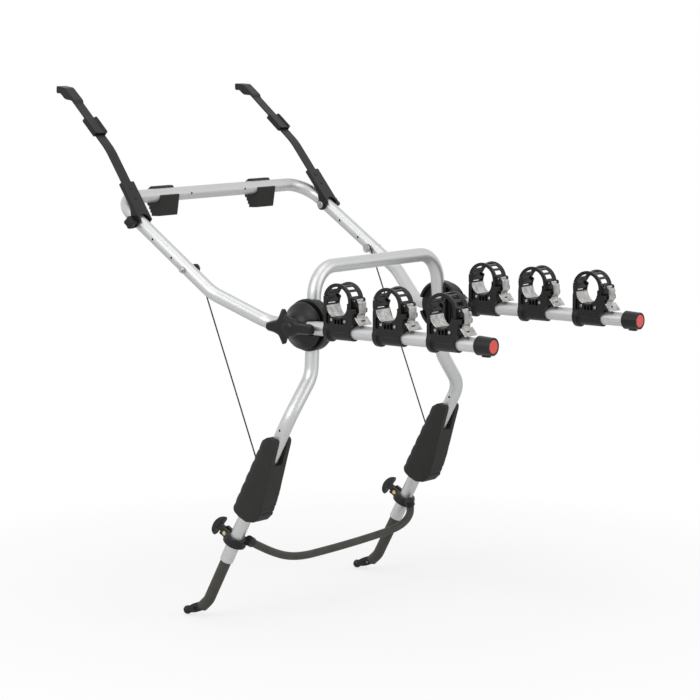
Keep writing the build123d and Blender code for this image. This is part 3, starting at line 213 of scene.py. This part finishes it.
def grown(name, mesh, tree, **sizes):
    """The plain mesh that a tree grows on a mesh, with its inputs set by identifier."""
    holder = bpy.data.objects.new(name, mesh)
    bpy.context.collection.objects.link(holder)
    modifier = holder.modifiers.new("grow", "NODES")
    modifier.node_group = tree
    for item in tree.interface.items_tree:
        if item.item_type == "SOCKET" and item.in_out == "INPUT" and item.name in sizes:
            modifier[item.identifier] = sizes[item.name]
    bpy.context.view_layer.update()
    evaluated = holder.evaluated_get(bpy.context.evaluated_depsgraph_get())
    plain = bpy.data.meshes.new_from_object(evaluated)
    holder.modifiers.clear()
    holder.data = plain
    plain.name = name
    print(name, "grew", len(plain.polygons), "faces")
    return holder


# %% [markdown]
# ## Finishes
# Each finish is a small node tree. Typing node links by hand is hard to follow, so a wrapped
# socket lets the maths read as maths: adding two of them adds a Math node, and one minus a mask
# is written just so. Any other node comes from one method of the finish.


# %% Sockets that can be added and multiplied
class Wire:
    """An output socket on which Python's operators build Math nodes."""

    def __init__(self, tree, socket):
        self.tree = tree
        self.socket = socket

    def joined(self, operation, first, second, clamp=False):
        node = self.tree.nodes.new("ShaderNodeMath")
        node.operation = operation
        node.use_clamp = clamp
        for place, value in enumerate((first, second)):
            if isinstance(value, Wire):
                self.tree.links.new(value.socket, node.inputs[place])
            else:
                node.inputs[place].default_value = value
        return Wire(self.tree, node.outputs[0])

    def __add__(self, other):
        return self.joined("ADD", self, other)

    def __radd__(self, other):
        return self.joined("ADD", other, self)

    def __sub__(self, other):
        return self.joined("SUBTRACT", self, other)

    def __rsub__(self, other):
        return self.joined("SUBTRACT", other, self)

    def __mul__(self, other):
        return self.joined("MULTIPLY", self, other)

    def __rmul__(self, other):
        return self.joined("MULTIPLY", other, self)

    def step(self, low, high):
        """Zero below low, one above high, and a straight slope between."""
        return self.joined("MULTIPLY", self - low, 1 / (high - low), clamp=True)


# %% A class for finishes
class Finish:
    """A material under work."""

    def __init__(self, name):
        self.material = bpy.data.materials.new(name)
        self.material.use_nodes = True
        self.tree = self.material.node_tree
        self.tree.nodes.clear()
        self.place = self.add("ShaderNodeTexCoord", out="Object")

    def add(self, kind, settings=None, values=None, out=0):
        node = self.tree.nodes.new(kind)
        for key, value in (settings or {}).items():
            setattr(node, key, value)
        for key, value in (values or {}).items():
            if isinstance(value, Wire):
                self.tree.links.new(value.socket, node.inputs[key])
            else:
                node.inputs[key].default_value = value
        return Wire(self.tree, node.outputs[out])

    def noise(self, scale, detail=2.0, rough=0.5, stretch=(1, 1, 1)):
        """Noise in object space; scale is waves in a metre."""
        spot = self.add(
            "ShaderNodeMapping", values={"Vector": self.place, "Scale": stretch}
        )
        return self.add(
            "ShaderNodeTexNoise",
            values={"Vector": spot, "Scale": scale, "Detail": detail, "Roughness": rough},
        )

    def blend_colours(self, mask, low, high):
        return self.add(
            "ShaderNodeMix",
            {"data_type": "RGBA"},
            {"Factor": mask, 6: (*low, 1), 7: (*high, 1)},
            out=2,
        )

    def bump(self, height, depth, strength=1.0):
        """A bump whose height wave is depth metres tall."""
        return self.add(
            "ShaderNodeBump", values={"Height": height, "Distance": depth, "Strength": strength}
        )

    def surface(self, **values):
        names = {key.replace("_", " "): value for key, value in values.items()}
        shader = self.add("ShaderNodeBsdfPrincipled", values=names)
        output = self.tree.nodes.new("ShaderNodeOutputMaterial")
        self.tree.links.new(shader.socket, output.inputs["Surface"])
        return self.material


# %% [markdown]
# The tubes are aluminium with a satin, clear coated skin: pale, soft in its shine, with a very
# fine grain from brushing along and a few handling marks. A mirror metal would show the studio
# too plainly, so the roughness is middling and the grain is left to a bump.


# %% Satin silver tube
def satin_silver():
    skin = Finish("satin_silver")
    grain = skin.noise(2600, 3, 0.6)
    cloud = skin.noise(9, 3, 0.55)
    rub = skin.noise(55, 6, 0.7).step(0.6, 0.74)
    shade = cloud * 0.6 + grain * 0.4
    colour = skin.blend_colours(shade, (0.52, 0.525, 0.53), (0.62, 0.622, 0.625))
    gloss = 0.38 + cloud * 0.02 - rub * 0.008
    return skin.surface(
        Base_Color=colour,
        Metallic=0.75,
        Roughness=gloss,
        Normal=skin.bump(grain, 0.000004, 0.5),
    )


# %% [markdown]
# Moulded parts are glass filled nylon, nearly black, with the fine spark eroded grain of their
# mould. It could be a flat dark colour, but the grain is what breaks up the shine on the flanks.


# %% Moulded black plastic, in two grains
def moulded_black(name, low, high, gloss, grain_depth, grain_scale=1500):
    skin = Finish(name)
    grain = skin.noise(grain_scale, 4, 0.65)
    cloud = skin.noise(18, 3, 0.6)
    dust = skin.noise(70, 5, 0.7).step(0.5, 0.8)
    colour = skin.blend_colours(cloud * 0.5 + grain * 0.3 + dust * 0.2, low, high)
    return skin.surface(
        Base_Color=colour,
        Roughness=gloss + grain * 0.12 - cloud * 0.06,
        Normal=skin.bump(grain, grain_depth, 0.8),
        **{"Specular IOR Level": 0.3},
    )


# %% [markdown]
# The hose and the covered rods are extruded rubber, a dark olive grey that is duller than the
# plastic and carries faint lines along from its die, with a little chalky bloom.


# %% Olive grey rubber
def olive_rubber():
    skin = Finish("olive_rubber")
    fine = skin.noise(1800, 3, 0.6)
    bloom = skin.noise(45, 5, 0.65).step(0.35, 0.75)
    colour = skin.blend_colours(bloom, (0.036, 0.034, 0.028), (0.062, 0.06, 0.05))
    return skin.surface(
        Base_Color=colour,
        Roughness=0.52 + bloom * 0.12,
        Normal=skin.bump(fine, 0.00004, 0.7),
        **{"Specular IOR Level": 0.35},
    )


# %% [markdown]
# Latch levers, liners and bolts are bright zinc plated or stainless steel. Rolling leaves fine
# lines across the sheet, made here by noise that is squeezed along X, so its lines stand
# square to X.


# %% Rolled steel, brass and wire
def rolled_steel(name, low, high, gloss, stretch):
    skin = Finish(name)
    lines = skin.noise(150, 4, 0.7, stretch)
    patches = skin.noise(90, 4, 0.6).step(0.35, 0.65)
    colour = skin.blend_colours(lines * 0.5 + patches * 0.5, low, high)
    return skin.surface(
        Base_Color=colour,
        Metallic=1.0,
        Roughness=gloss + lines * 0.14,
        Normal=skin.bump(lines, 0.00003, 0.5),
    )


# %% [markdown]
# The red discs are prismatic reflectors: a clear red face over rows of small corner prisms. Real
# prisms are far too many to model, so a Voronoi pattern tilts the normal by cells, and a clear
# coat gives the flat face over them.


# %% Red reflector
def red_reflector():
    skin = Finish("red_reflector")
    cell = skin.add(
        "ShaderNodeTexVoronoi",
        {"feature": "F1"},
        {"Vector": skin.place, "Scale": 520, "Randomness": 0.0},
        out="Distance",
    )
    glow = skin.blend_colours(cell.step(0.1, 0.8), (0.86, 0.055, 0.03), (0.58, 0.02, 0.015))
    return skin.surface(
        Base_Color=glow,
        Roughness=0.3,
        Normal=skin.bump(cell, 0.0004, 0.35),
        **{"Coat Weight": 0.9, "Coat Roughness": 0.06},
    )


# %% The finishes by the record's slots
across_x = (6, 1, 1)
finishes = {
    "silver_tube": satin_silver(),
    "black_plastic": moulded_black("black_nylon", (0.005,) * 3, (0.01,) * 3, 0.34, 0.00004),
    "strap_plastic": moulded_black("strap_nylon", (0.006,) * 3, (0.011,) * 3, 0.2, 0.00002),
    "black_rubber": moulded_black(
        "cover_rubber", (0.011, 0.011, 0.0095), (0.019, 0.019, 0.017), 0.55, 0.00006, 1100
    ),
    "grey_rubber": olive_rubber(),
    "black_paint": moulded_black("powder_coat", (0.008,) * 3, (0.013,) * 3, 0.36, 0.00003, 700),
    "steel": rolled_steel(
        "rolled_steel", (0.16, 0.155, 0.15), (0.7, 0.69, 0.67), 0.14, across_x
    ),
    "cable_steel": moulded_black("coated_wire", (0.012,) * 3, (0.03,) * 3, 0.34, 0.00002),
    "brass": rolled_steel("brass", (0.62, 0.44, 0.2), (0.8, 0.6, 0.32), 0.24, across_x),
    "red_lens": red_reflector(),
}
print("finishes", sorted(finishes))

# %% [markdown]
# ## A finish for every node
# The record says which material slot each node has, and every slot has one finish. Nodes could
# be given materials one by one, but a loop over the record can't forget any.

# %% The finish of each node
slot_of = {item["node"]: item["material_slot"] for item in frame["record"]["subparts"]}
for name, piece in frame["nodes"].items():
    piece.data.materials.clear()
    piece.data.materials.append(finishes[slot_of[name]])
print("finished", len(frame["nodes"]), "nodes")

# %% [markdown]
# ## Dressing the cords
# The hose takes its rubber and stands for its CAD solid. The strands are wound on the cables'
# The strands are wound on the cables' splines and stay where they are laid, though each cable turns
# with the lower frame at its foot and with the upper frame at its top.

# %% The hose rides on the lower frame
hose.data.materials.append(finishes["grey_rubber"])
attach(hose, "lower_frame")
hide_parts("steady_hose")
print("hose laid")


# %% Strands wound on a path by Geometry Nodes
def strand_tree(finish):
    work = Maker("strand_lay", Strands=6, Lay=0.018, Spread=0.001, Thickness=0.0005, Step=0.001)
    path = work.add("GeometryNodeMeshToCurve", values={"Mesh": work.size("Geometry")})
    even = work.add(
        "GeometryNodeResampleCurve",
        {"mode": "LENGTH"},
        {"Curve": path, "Length": work.size("Step")},
    )
    copies = work.add(
        "GeometryNodeDuplicateElements",
        {"domain": "SPLINE"},
        {"Geometry": even, "Amount": work.size("Strands")},
    )
    which = copies.node.outputs["Duplicate Index"]
    first = work.add(
        "ShaderNodeMath", {"operation": "DIVIDE"}, {0: which, 1: work.size("Strands")}
    )
    along = work.add("GeometryNodeSplineParameter", out="Length")
    turns = work.add("ShaderNodeMath", {"operation": "DIVIDE"}, {0: along, 1: work.size("Lay")})
    both = work.add("ShaderNodeMath", {"operation": "ADD"}, {0: first, 1: turns})
    angle = work.add("ShaderNodeMath", {"operation": "MULTIPLY"}, {0: both, 1: math.tau})
    tangent = work.add("GeometryNodeInputTangent")
    normal = work.add("GeometryNodeInputNormal")
    turned = work.add(
        "ShaderNodeVectorRotate",
        {"rotation_type": "AXIS_ANGLE"},
        {"Vector": normal, "Axis": tangent, "Angle": angle},
    )
    out = work.add(
        "ShaderNodeVectorMath",
        {"operation": "SCALE"},
        {0: turned, "Scale": work.size("Spread")},
    )
    moved = work.add("GeometryNodeSetPosition", values={"Geometry": copies, "Offset": out})
    round_section = work.add(
        "GeometryNodeCurvePrimitiveCircle",
        values={"Resolution": 6, "Radius": work.size("Thickness")},
    )
    wires = work.add(
        "GeometryNodeCurveToMesh",
        values={"Curve": moved, "Profile Curve": round_section, "Fill Caps": True},
    )
    return work.finish(wires, finish)


strand_lay = strand_tree(finishes["cable_steel"])
for name, side in sides.items():
    points = [(side * cable_half_width, y, z) for y, z in cable_route]
    path_mesh = spline_path(f"cable_path_{name}", points)
    cable = grown(
        f"wire_cable_{name}",
        path_mesh,
        strand_lay,
        Strands=6,
        Lay=0.022,
        Spread=0.00095,
        Thickness=0.00062,
        Step=0.0016,
    )
    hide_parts("stay_cables")
    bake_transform(cable)

# %% [markdown]
# ## A moulding kit
# Moulded parts have no knife edge and no sharp inner corner. They could be bevelled edge by edge,
# but where many forms meet a bevel breaks. Here plain prisms and turned forms are put together
# and cut, a voxel remesh melts them into one skin, and a little smoothing rounds it all over.


# %% Places to draw in, in millimetres
body_of_node = {
    node: body for body, nodes in frame["record"]["behaviour"]["bodies"].items() for node in nodes
}
hinge_y, hinge_z = -100.363, 302.011
lean = math.radians(28.74)
leg_back, leg_drop = 0.4, 176.5
leg_x, arm_x = 276, 247.976
tube_bore = 14.15
strap_angles = {"left": 55.6, "right": 50.6}
strap_pivot_y, strap_pivot_z = 284.185, 490.927
strap_x, band_turn = 296.5, 11.5
band_along, band_rise = 204.687, 7.391


def leg_place(side):
    """Along a leg: reach to the car, station down the leg, width outward along X."""

    def place(reach, station, width):
        y = hinge_y - leg_back + station * math.sin(lean) + reach * math.cos(lean)
        z = hinge_z - leg_drop - station * math.cos(lean) + reach * math.sin(lean)
        return Vector((side * (leg_x + width), y, z)) / 1000

    return place


def hinge_place(side):
    """At a hinge: out away from the car, up, and depth from the middle of the rack."""
    return lambda out, up, depth: Vector((side * depth, hinge_y - out, hinge_z + up)) / 1000


def strap_place(name, side):
    """Along the upper part of a hook strap: along it, square to it, and width along X."""
    angle = math.radians(strap_angles[name])
    slope = angle - math.radians(band_turn)
    foot_y = strap_pivot_y + band_along * math.cos(angle) - band_rise * math.sin(angle)
    foot_z = strap_pivot_z + band_along * math.sin(angle) + band_rise * math.cos(angle)

    def place(along, rise, width):
        y = foot_y + along * math.cos(slope) - rise * math.sin(slope)
        z = foot_z + along * math.sin(slope) + rise * math.cos(slope)
        return Vector((side * (strap_x + width), y, z)) / 1000

    return place


def down_leg(place):
    """A leg seen along its axis: outlines of reach and width, with levels down the leg."""
    return lambda reach, width, station: place(reach, station, width)


def down_arm(place):
    """An arm seen along its axis: outlines sideways and up, with levels out along the arm."""
    return lambda sideways, up, out: place(out, up, arm_x + sideways)


# %% Closed forms
def prism(work, place, outline, *levels):
    """A closed form through copies of an outline; a level is a width, or a width and two scales."""
    rings = []
    for level in levels:
        width, across, up = level if isinstance(level, tuple) else (level, 1, 1)
        rings.append([work.verts.new(place(u * across, v * up, width)) for u, v in outline])
    count = len(outline)
    work.faces.new(rings[0])
    work.faces.new(rings[-1][::-1])
    for lower, upper in zip(rings, rings[1:]):
        for k in range(count):
            n = (k + 1) % count
            work.faces.new((lower[n], lower[k], upper[k], upper[n]))


def circle(radius, steps=48, centre=(0, 0)):
    turns = [math.tau * k / steps for k in range(steps)]
    return [
        (centre[0] + radius * math.cos(turn), centre[1] + radius * math.sin(turn)) for turn in turns
    ]


def rectangle(low, high):
    return [(low[0], low[1]), (high[0], low[1]), (high[0], high[1]), (low[0], high[1])]


def formed(name, *forms):
    """One object from closed forms, each given as place, outline and levels."""
    work = bmesh.new()
    for place, outline, *levels in forms:
        prism(work, place, outline, *levels)
    bmesh.ops.recalc_face_normals(work, faces=work.faces)
    mesh = bpy.data.meshes.new(name)
    work.to_mesh(mesh)
    work.free()
    piece = bpy.data.objects.new(name, mesh)
    bpy.context.collection.objects.link(piece)
    return piece


def copied(name, node):
    """A welded copy of a CAD node's mesh."""
    work = bmesh.new()
    work.from_mesh(frame["nodes"][node].data)
    bmesh.ops.remove_doubles(work, verts=work.verts, dist=0.000002)
    mesh = bpy.data.meshes.new(name)
    work.to_mesh(mesh)
    work.free()
    piece = bpy.data.objects.new(name, mesh)
    bpy.context.collection.objects.link(piece)
    return piece


def with_forms(piece, *forms):
    """Add closed forms to a piece's mesh; the remesh melts them together."""
    extra = formed("extra", *forms)
    work = bmesh.new()
    work.from_mesh(piece.data)
    work.from_mesh(extra.data)
    work.to_mesh(piece.data)
    work.free()
    bpy.data.objects.remove(extra)
    return piece


# %% Melt a form into a moulded skin
remade = set()


def settled(piece):
    """Apply what a piece's modifiers say, and keep only the plain mesh."""
    bpy.context.view_layer.update()
    evaluated = piece.evaluated_get(bpy.context.evaluated_depsgraph_get())
    plain = bpy.data.meshes.new_from_object(evaluated)
    plain.name = piece.name
    piece.modifiers.clear()
    piece.data = plain
    return piece


def carved(piece, cuts=(), meets=()):
    """Take the cuts off a piece, then keep only what lies in each form that it meets."""
    tools = [(cut, "DIFFERENCE") for cut in cuts] + [(meet, "INTERSECT") for meet in meets]
    for tool, operation in tools:
        carve = piece.modifiers.new("carve", "BOOLEAN")
        carve.operation = operation
        carve.object = tool
        carve.solver = "EXACT"
        carve.use_self = True
    settled(piece)
    for tool, _ in tools:
        bpy.data.objects.remove(tool)
    return piece


def melted(piece, voxel=0.0008, rounds=5, kept=0.5):
    """One skin round all forms; a larger voxel and more rounds make softer edges."""
    melt = piece.modifiers.new("melt", "REMESH")
    melt.mode = "VOXEL"
    melt.voxel_size = voxel
    melt.use_smooth_shade = True
    ease = piece.modifiers.new("ease", "SMOOTH")
    ease.iterations = rounds
    thin = piece.modifiers.new("thin", "DECIMATE")
    thin.ratio = kept
    settled(piece)
    for polygon in piece.data.polygons:
        polygon.use_smooth = True
    return piece


def stands_for(piece, node):
    """Finish a piece, make it move with its node's body, and hide the node."""
    slot = slot_of[node]
    piece.data.materials.clear()
    piece.data.materials.append(finishes[slot])
    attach(piece, body_of_node[node])
    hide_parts(node)
    remade.add(node)
    print(piece.name, len(piece.data.polygons), "faces")


# %% [markdown]
# ## Foot covers
# Each cover is a thick rubber shoe that slides on the leg: scallops down its face grip the
# bumper, two ears rise past the tube with a gap between them, and three shelves on the back are
# for the fingers. The side outline crossed with a rounded section gives the body.

# %% Foot covers
cover_outline = [
    (34, 80), (34, 222), (27, 233), (16, 239), (0, 241), (-20, 239), (-36, 230), (-43, 213),
    (-41.5, 196), (-37, 168), (-28.5, 133), (-19.5, 94), (-12, 58), (-9.5, 52), (-6, 49.2),
    (-2, 49), (2, 52), (8, 52.5), (15, 57), (22, 67),
]
scallop_floor, scallop_depth = 0.93, 0.07
scallop_top, scallop_pitch = 79, 26.5
scallops = []
for k in range(97):
    station = 35 + 2.2 * k
    wave = abs(math.cos(math.pi * (station - scallop_top) / scallop_pitch)) ** 0.6
    scallops.append((station, scallop_floor + scallop_depth * wave, 1))


def pushed(value, power):
    """A sine or cosine raised outward, which squares the circle that it draws."""
    return math.copysign(abs(value) ** power, value)


cover_front, cover_rear, cover_half_width = 29.5, 54, 24.5
cover_section = []
for k in range(64):
    turn = math.tau * k / 64
    along, across = math.cos(turn), math.sin(turn)
    reach = cover_front * pushed(along, 0.62) if along > 0 else cover_rear * pushed(along, 0.5)
    cover_section.append((reach, cover_half_width * pushed(across, 0.62)))
shelf_stations = (193, 205, 217)

for name, side in sides.items():
    place = leg_place(side)
    down = down_leg(place)
    cover = formed(f"rubber_foot_{name}", (place, cover_outline, -25.4, 25.4))
    section = formed("section", (down, cover_section, *scallops))
    bore = formed("bore", (down, circle(tube_bore), 20, 270))
    gap = formed("gap", (down, rectangle((-70, -12), (-9, 12)), 20, (104, 1, 1)))
    shelves = [
        formed("shelf", (place, [(-60, s), (-37, s), (-50, s + 8), (-60, s + 8)], -30, 30))
        for s in shelf_stations
    ]
    carved(cover, [bore, gap, *shelves], [section])
    stands_for(melted(cover, 0.0009, 4), f"foot_cover_{name}")

# %% [markdown]
# ## Hinge covers and star knobs
# The cover is half a dome with a socket for the arm, and the arm shows in a slot across it. The
# knob that locks the arm is a propeller: two long wings to push on, and two short fins.

# %% Hinge covers
dome_floor = 234.8
dome = [
    (46.5, dome_floor), (47.5, 237), (45, 240.5), (40, 245), (34, 250), (28, 256), (22, 260.5),
    (15, 264),
]
for name, side in sides.items():
    place = hinge_place(side)
    along_arm = down_arm(place)
    cover = formed(
        f"hinge_dome_{name}",
        (place, circle(1), *[(depth, radius, radius) for radius, depth in dome]),
        (along_arm, circle(16.7), 0, 40),
    )
    bore = formed("bore", (along_arm, circle(tube_bore), 21, 120))
    slot_cut = formed("slot", (place, rectangle((27, -15), (80, 15)), 236, 280))
    behind = formed("behind", (place, rectangle((-80, -80), (80, 80)), 200, dome_floor))
    carved(cover, [bore, slot_cut, behind])
    stands_for(melted(cover, 0.0008, 5), f"hinge_cover_{name}")

# %% Star knobs
wings = [
    (-59, -7), (-58, 6), (-46, 10), (-34, 13), (-28, 17), (-19, 36), (-15, 35), (-12, 26), (0, 20),
    (14, 18), (22, 11), (50, 10.5), (57, 8), (59, 4), (59, -6), (56, -10), (24, -11), (14, -15),
    (0, -19), (-11, -24), (-14, -33), (-18, -34), (-27, -17), (-40, -12), (-54, -10),
]
for name, side in sides.items():
    place = hinge_place(side)
    knob = formed(
        f"wing_knob_{name}",
        (place, wings, (268.2, 0.97, 0.94), 270.5, 277, (282.8, 0.95, 0.7)),
        (place, circle(1), (265.5, 15, 15), (270, 19, 19), (280, 17, 17), (285.5, 8, 8)),
    )
    stands_for(melted(knob, 0.0007, 5), f"star_knob_{name}")

# %% [markdown]
# ## Hooks and buckles of the straps
# The hook that holds on the hatch's edge is a thick coated plate, cut to one outline and as wide
# as its band. The buckle is a sleeve with a raised rim down each side.

# %% Hooks
hook_reaches = {"left": 0, "right": 19}
hook_outline = [
    (2, 0.2), (97, 0.2), (101.7, -2.7), (111, -9.6), (116, -11.4), (129, -12), (133, -13.5),
    (137, -18.2), (141, -18.4), (148.6, -9.9), (148, -7.5), (131, 4.8), (127, 6), (95, 7),
    (91, 6.4), (86, 3.2), (2, 3.2),
]
for name, side in sides.items():
    outline = [(u + (hook_reaches[name] if u > 50 else 0), v) for u, v in hook_outline]
    hook = formed(f"plate_hook_{name}", (strap_place(name, side), outline, -13, 13))
    edge = hook.modifiers.new("edge", "BEVEL")
    edge.width = 0.0009
    edge.segments = 3
    edge.limit_method = "ANGLE"
    edge.angle_limit = math.radians(40)
    settled(hook)
    stands_for(hook, f"hook_band_{name}")

# %% Buckles
rim_outline = [(0, 4), (44.5, 4), (44.5, 7.4), (40, 8), (4, 8), (0, 7.4)]
rim_width = 4
for name, side in sides.items():
    place = strap_place(name, side)
    buckle = copied(f"buckle_{name}", f"adjuster_{name}")
    rims = formed("rims", *[(place, rim_outline, low, low + rim_width) for low in (-17, 13)])
    with_rims = buckle.modifiers.new("rims", "BOOLEAN")
    with_rims.operation = "UNION"
    with_rims.object = rims
    with_rims.solver = "EXACT"
    settled(buckle)
    bpy.data.objects.remove(rims)
    stands_for(melted(buckle, 0.0006, 3), f"adjuster_{name}")

# %% [markdown]
# ## Cradle bases
# A cradle's base is a saddle clamped on the arm. Its side walls are pocketed between ribs, to
# keep the plastic of one thickness, and round ears hold the strap's hinge. The frame's node has
# the saddle, sleeve and catch, so its welded copy gets the ears and loses the pockets.

# %% Cradle bases
cradle_stations = {"left": (79.0, 201.4, 331.1), "right": (60.1, 187.5, 322.8)}
pocket_outlines = [
    [(7.5, 36), (7.5, 15), (16.5, 15), (16.5, 30.2), (11.6, 35.9)],
    [(28, 15), (33.4, 15), (33.4, 24), (28, 24.6)],
    [(35.6, 15), (41, 15), (41, 24.6), (35.6, 24)],
    [(43.2, 15), (49.4, 15), (49.4, 28.2), (43.2, 25.4)],
]
ear_outline = [(max(u, 0.2), v) for u, v in circle(9.5, 40, (5.6, 60))]
saddle_outline = circle(24.6, 64, (34.5, 52))


def cradle_place(side, station):
    """At a cradle: out from its wall, up from the arm's axis, and width along X."""

    def place(out, up, width):
        return Vector((side * arm_x + width, hinge_y - station - out, hinge_z + up)) / 1000

    return place


for name, side in sides.items():
    for where, station in zip(places, cradle_stations[name]):
        node = f"cradle_base_{name}_{where}"
        place = cradle_place(side, station)
        base = with_forms(
            copied(f"soft_{node}", node),
            (place, ear_outline, 16, 20),
            (place, ear_outline, -20, -16),
            (place, rectangle((0.3, 47), (9.8, 53.2)), -17, 17),
        )
        pockets = [
            formed("pocket", (place, outline, low, high))
            for outline in pocket_outlines
            for low, high in ((13.5, 30), (-30, -13.5))
        ]
        saddle = formed("saddle", (place, saddle_outline, -30, 30))
        carved(base, [saddle, *pockets])
        stands_for(melted(base, 0.0008, 3, 0.4), node)

# %% [markdown]
# ## Parts that only need their mould's soft edges
# The other moulded parts already have their forms in the frame. A welded copy of each is melted
# with small voxels, which rounds every edge at once, inner corners too.

# %% Melted copies
moulded_nodes = {
    "leg_collar": 0.0007,
    "collar_knob": 0.0006,
    "strap_knob": 0.0005,
    "hinge_base": 0.0009,
    "foot_hook": 0.0006,
}
soft_voxels = {
    f"{kind}_{name}": voxel for kind, voxel in moulded_nodes.items() for name in sides
}
soft_voxels |= {f"cradle_strap_{name}_{where}": 0.00065 for name in sides for where in places}
soft_voxels["window_pads"] = 0.0009
for node, voxel in soft_voxels.items():
    piece = melted(copied(f"soft_{node}", node), voxel, 3, 0.4)
    stands_for(piece, node)

# %% [markdown]
# The two bent tubes shine along their whole length, so their shading has to be even. A welded
# copy takes its normals from its own faces, smooth round the tube and split at the sharp rims.

# %% Bent tubes with even shading
for node in ("lower_frame_tube", "upper_frame_tube"):
    tube = copied(f"satin_{node}", node)
    work = bmesh.new()
    work.from_mesh(tube.data)
    for edge in work.edges:
        edge.smooth = edge.calc_face_angle(0) < math.radians(35)
    for face in work.faces:
        face.smooth = True
    work.to_mesh(tube.data)
    work.free()
    stands_for(tube, node)

# %% [markdown]
# ## The nodes that keep their mesh
# CAD solids have knife edges, and nothing real has. Each node that is left gets a short stack:
# Weld joins the loose triangles, a planar Decimate makes whole faces of them, Bevel rounds the
# sharp edges, and Weighted Normal keeps the flats flat. The mesh under it stays as it came.

# %% Rounded edges
edge_widths = {"silver_tube": 0.0003, "steel": 0.0003, "brass": 0.0003, "red_lens": 0.0004}
moulded_edge = 0.0005
cord_nodes = ("steady_hose", "stay_cables")


def softened(piece, width):
    weld = piece.modifiers.new("weld", "WELD")
    weld.merge_threshold = 0.00002
    flats = piece.modifiers.new("flats", "DECIMATE")
    flats.decimate_type = "DISSOLVE"
    flats.angle_limit = math.radians(0.6)
    edge = piece.modifiers.new("edge", "BEVEL")
    edge.width = width
    edge.segments = 2
    edge.limit_method = "ANGLE"
    edge.angle_limit = math.radians(32)
    edge.harden_normals = False
    smooth = piece.modifiers.new("smooth", "WEIGHTED_NORMAL")
    smooth.keep_sharp = True
    smooth.weight = 80


for name, piece in frame["nodes"].items():
    if name not in remade and name not in cord_nodes:
        softened(piece, edge_widths.get(slot_of[name], moulded_edge))
print("remade", len(remade), "of", len(frame["nodes"]))

# %% [markdown]
# ## Floor, backdrop and light
# A shop picture has no horizon: floor and wall run into one white. A curved sweep could be built,
# but a wide disc that fades from a lit surface near the object to plain white further out gives
# the same look and still takes the shadow. Camera, mirror and glass rays see white all round.


# %% Floor that fades to white
def pale_floor():
    skin = Finish("pale_floor")
    spot = skin.add(
        "ShaderNodeVectorMath", {"operation": "LENGTH"}, {0: skin.place}, out="Value"
    )
    far = spot.step(0.55, 1.3)
    rays = skin.add("ShaderNodeLightPath", out="Is Camera Ray")
    lit = skin.add("ShaderNodeBsdfDiffuse", values={"Color": (0.93, 0.93, 0.93, 1)})
    white = skin.add("ShaderNodeEmission", values={"Color": (1, 1, 1, 1), "Strength": 1.0})
    shown = (far * 0.3 + 0.7) * rays
    mixed = skin.add("ShaderNodeMixShader", values={0: shown, 1: lit, 2: white})
    output = skin.tree.nodes.new("ShaderNodeOutputMaterial")
    skin.tree.links.new(mixed.socket, output.inputs["Surface"])
    return skin.material


floor_level = min(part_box(f"foot_hook_{name}")[0].z for name in sides) - 0.0005
floor_mesh = bpy.data.meshes.new("studio_floor")
floor_work = bmesh.new()
bmesh.ops.create_circle(
    floor_work, cap_ends=True, segments=96, radius=6, matrix=Matrix.Translation((0, 0, floor_level))
)
floor_work.to_mesh(floor_mesh)
floor_work.free()
floor_mesh.materials.append(pale_floor())
studio_floor = bpy.data.objects.new("studio_floor", floor_mesh)
bpy.context.collection.objects.link(studio_floor)
print("floor at", round(floor_level, 4))

# %% White surround that lights softly
world = bpy.data.worlds.new("studio_world")
bpy.context.scene.world = world
world.use_nodes = True
world.node_tree.nodes.clear()
paths = world.node_tree.nodes.new("ShaderNodeLightPath")
seen = Wire(world.node_tree, paths.outputs["Is Camera Ray"])
seen = seen + Wire(world.node_tree, paths.outputs["Is Glossy Ray"])
seen = seen + Wire(world.node_tree, paths.outputs["Is Transmission Ray"])
fill_level = 0.55
level = seen.step(0, 1) * (1 - fill_level) + fill_level
background = world.node_tree.nodes.new("ShaderNodeBackground")
background.inputs["Color"].default_value = (1, 1, 1, 1)
world.node_tree.links.new(level.socket, background.inputs["Strength"])
world_output = world.node_tree.nodes.new("ShaderNodeOutputWorld")
world.node_tree.links.new(background.outputs[0], world_output.inputs["Surface"])
print("fill level", fill_level)


# %% Soft lamps
def soft_lamp(name, azimuth_deg, elevation_deg, reach, size, power):
    a, e = math.radians(azimuth_deg), math.radians(elevation_deg)
    direction = Vector((math.sin(a) * math.cos(e), -math.cos(a) * math.cos(e), math.sin(e)))
    data = bpy.data.lights.new(name, "AREA")
    data.shape = "RECTANGLE"
    data.size = size
    data.size_y = size
    data.energy = power
    lamp = bpy.data.objects.new(name, data)
    lamp.location = aim + reach * direction
    lamp.rotation_euler = (-direction).to_track_quat("-Z", "Y").to_euler()
    bpy.context.collection.objects.link(lamp)
    return lamp


soft_lamp("key_lamp", -85, 32, 3.2, 1.8, 36)
soft_lamp("fill_lamp", 15, 20, 3.4, 2.2, 22)
soft_lamp("top_lamp", -40, 78, 3.2, 2.0, 16)
print("lamps set")
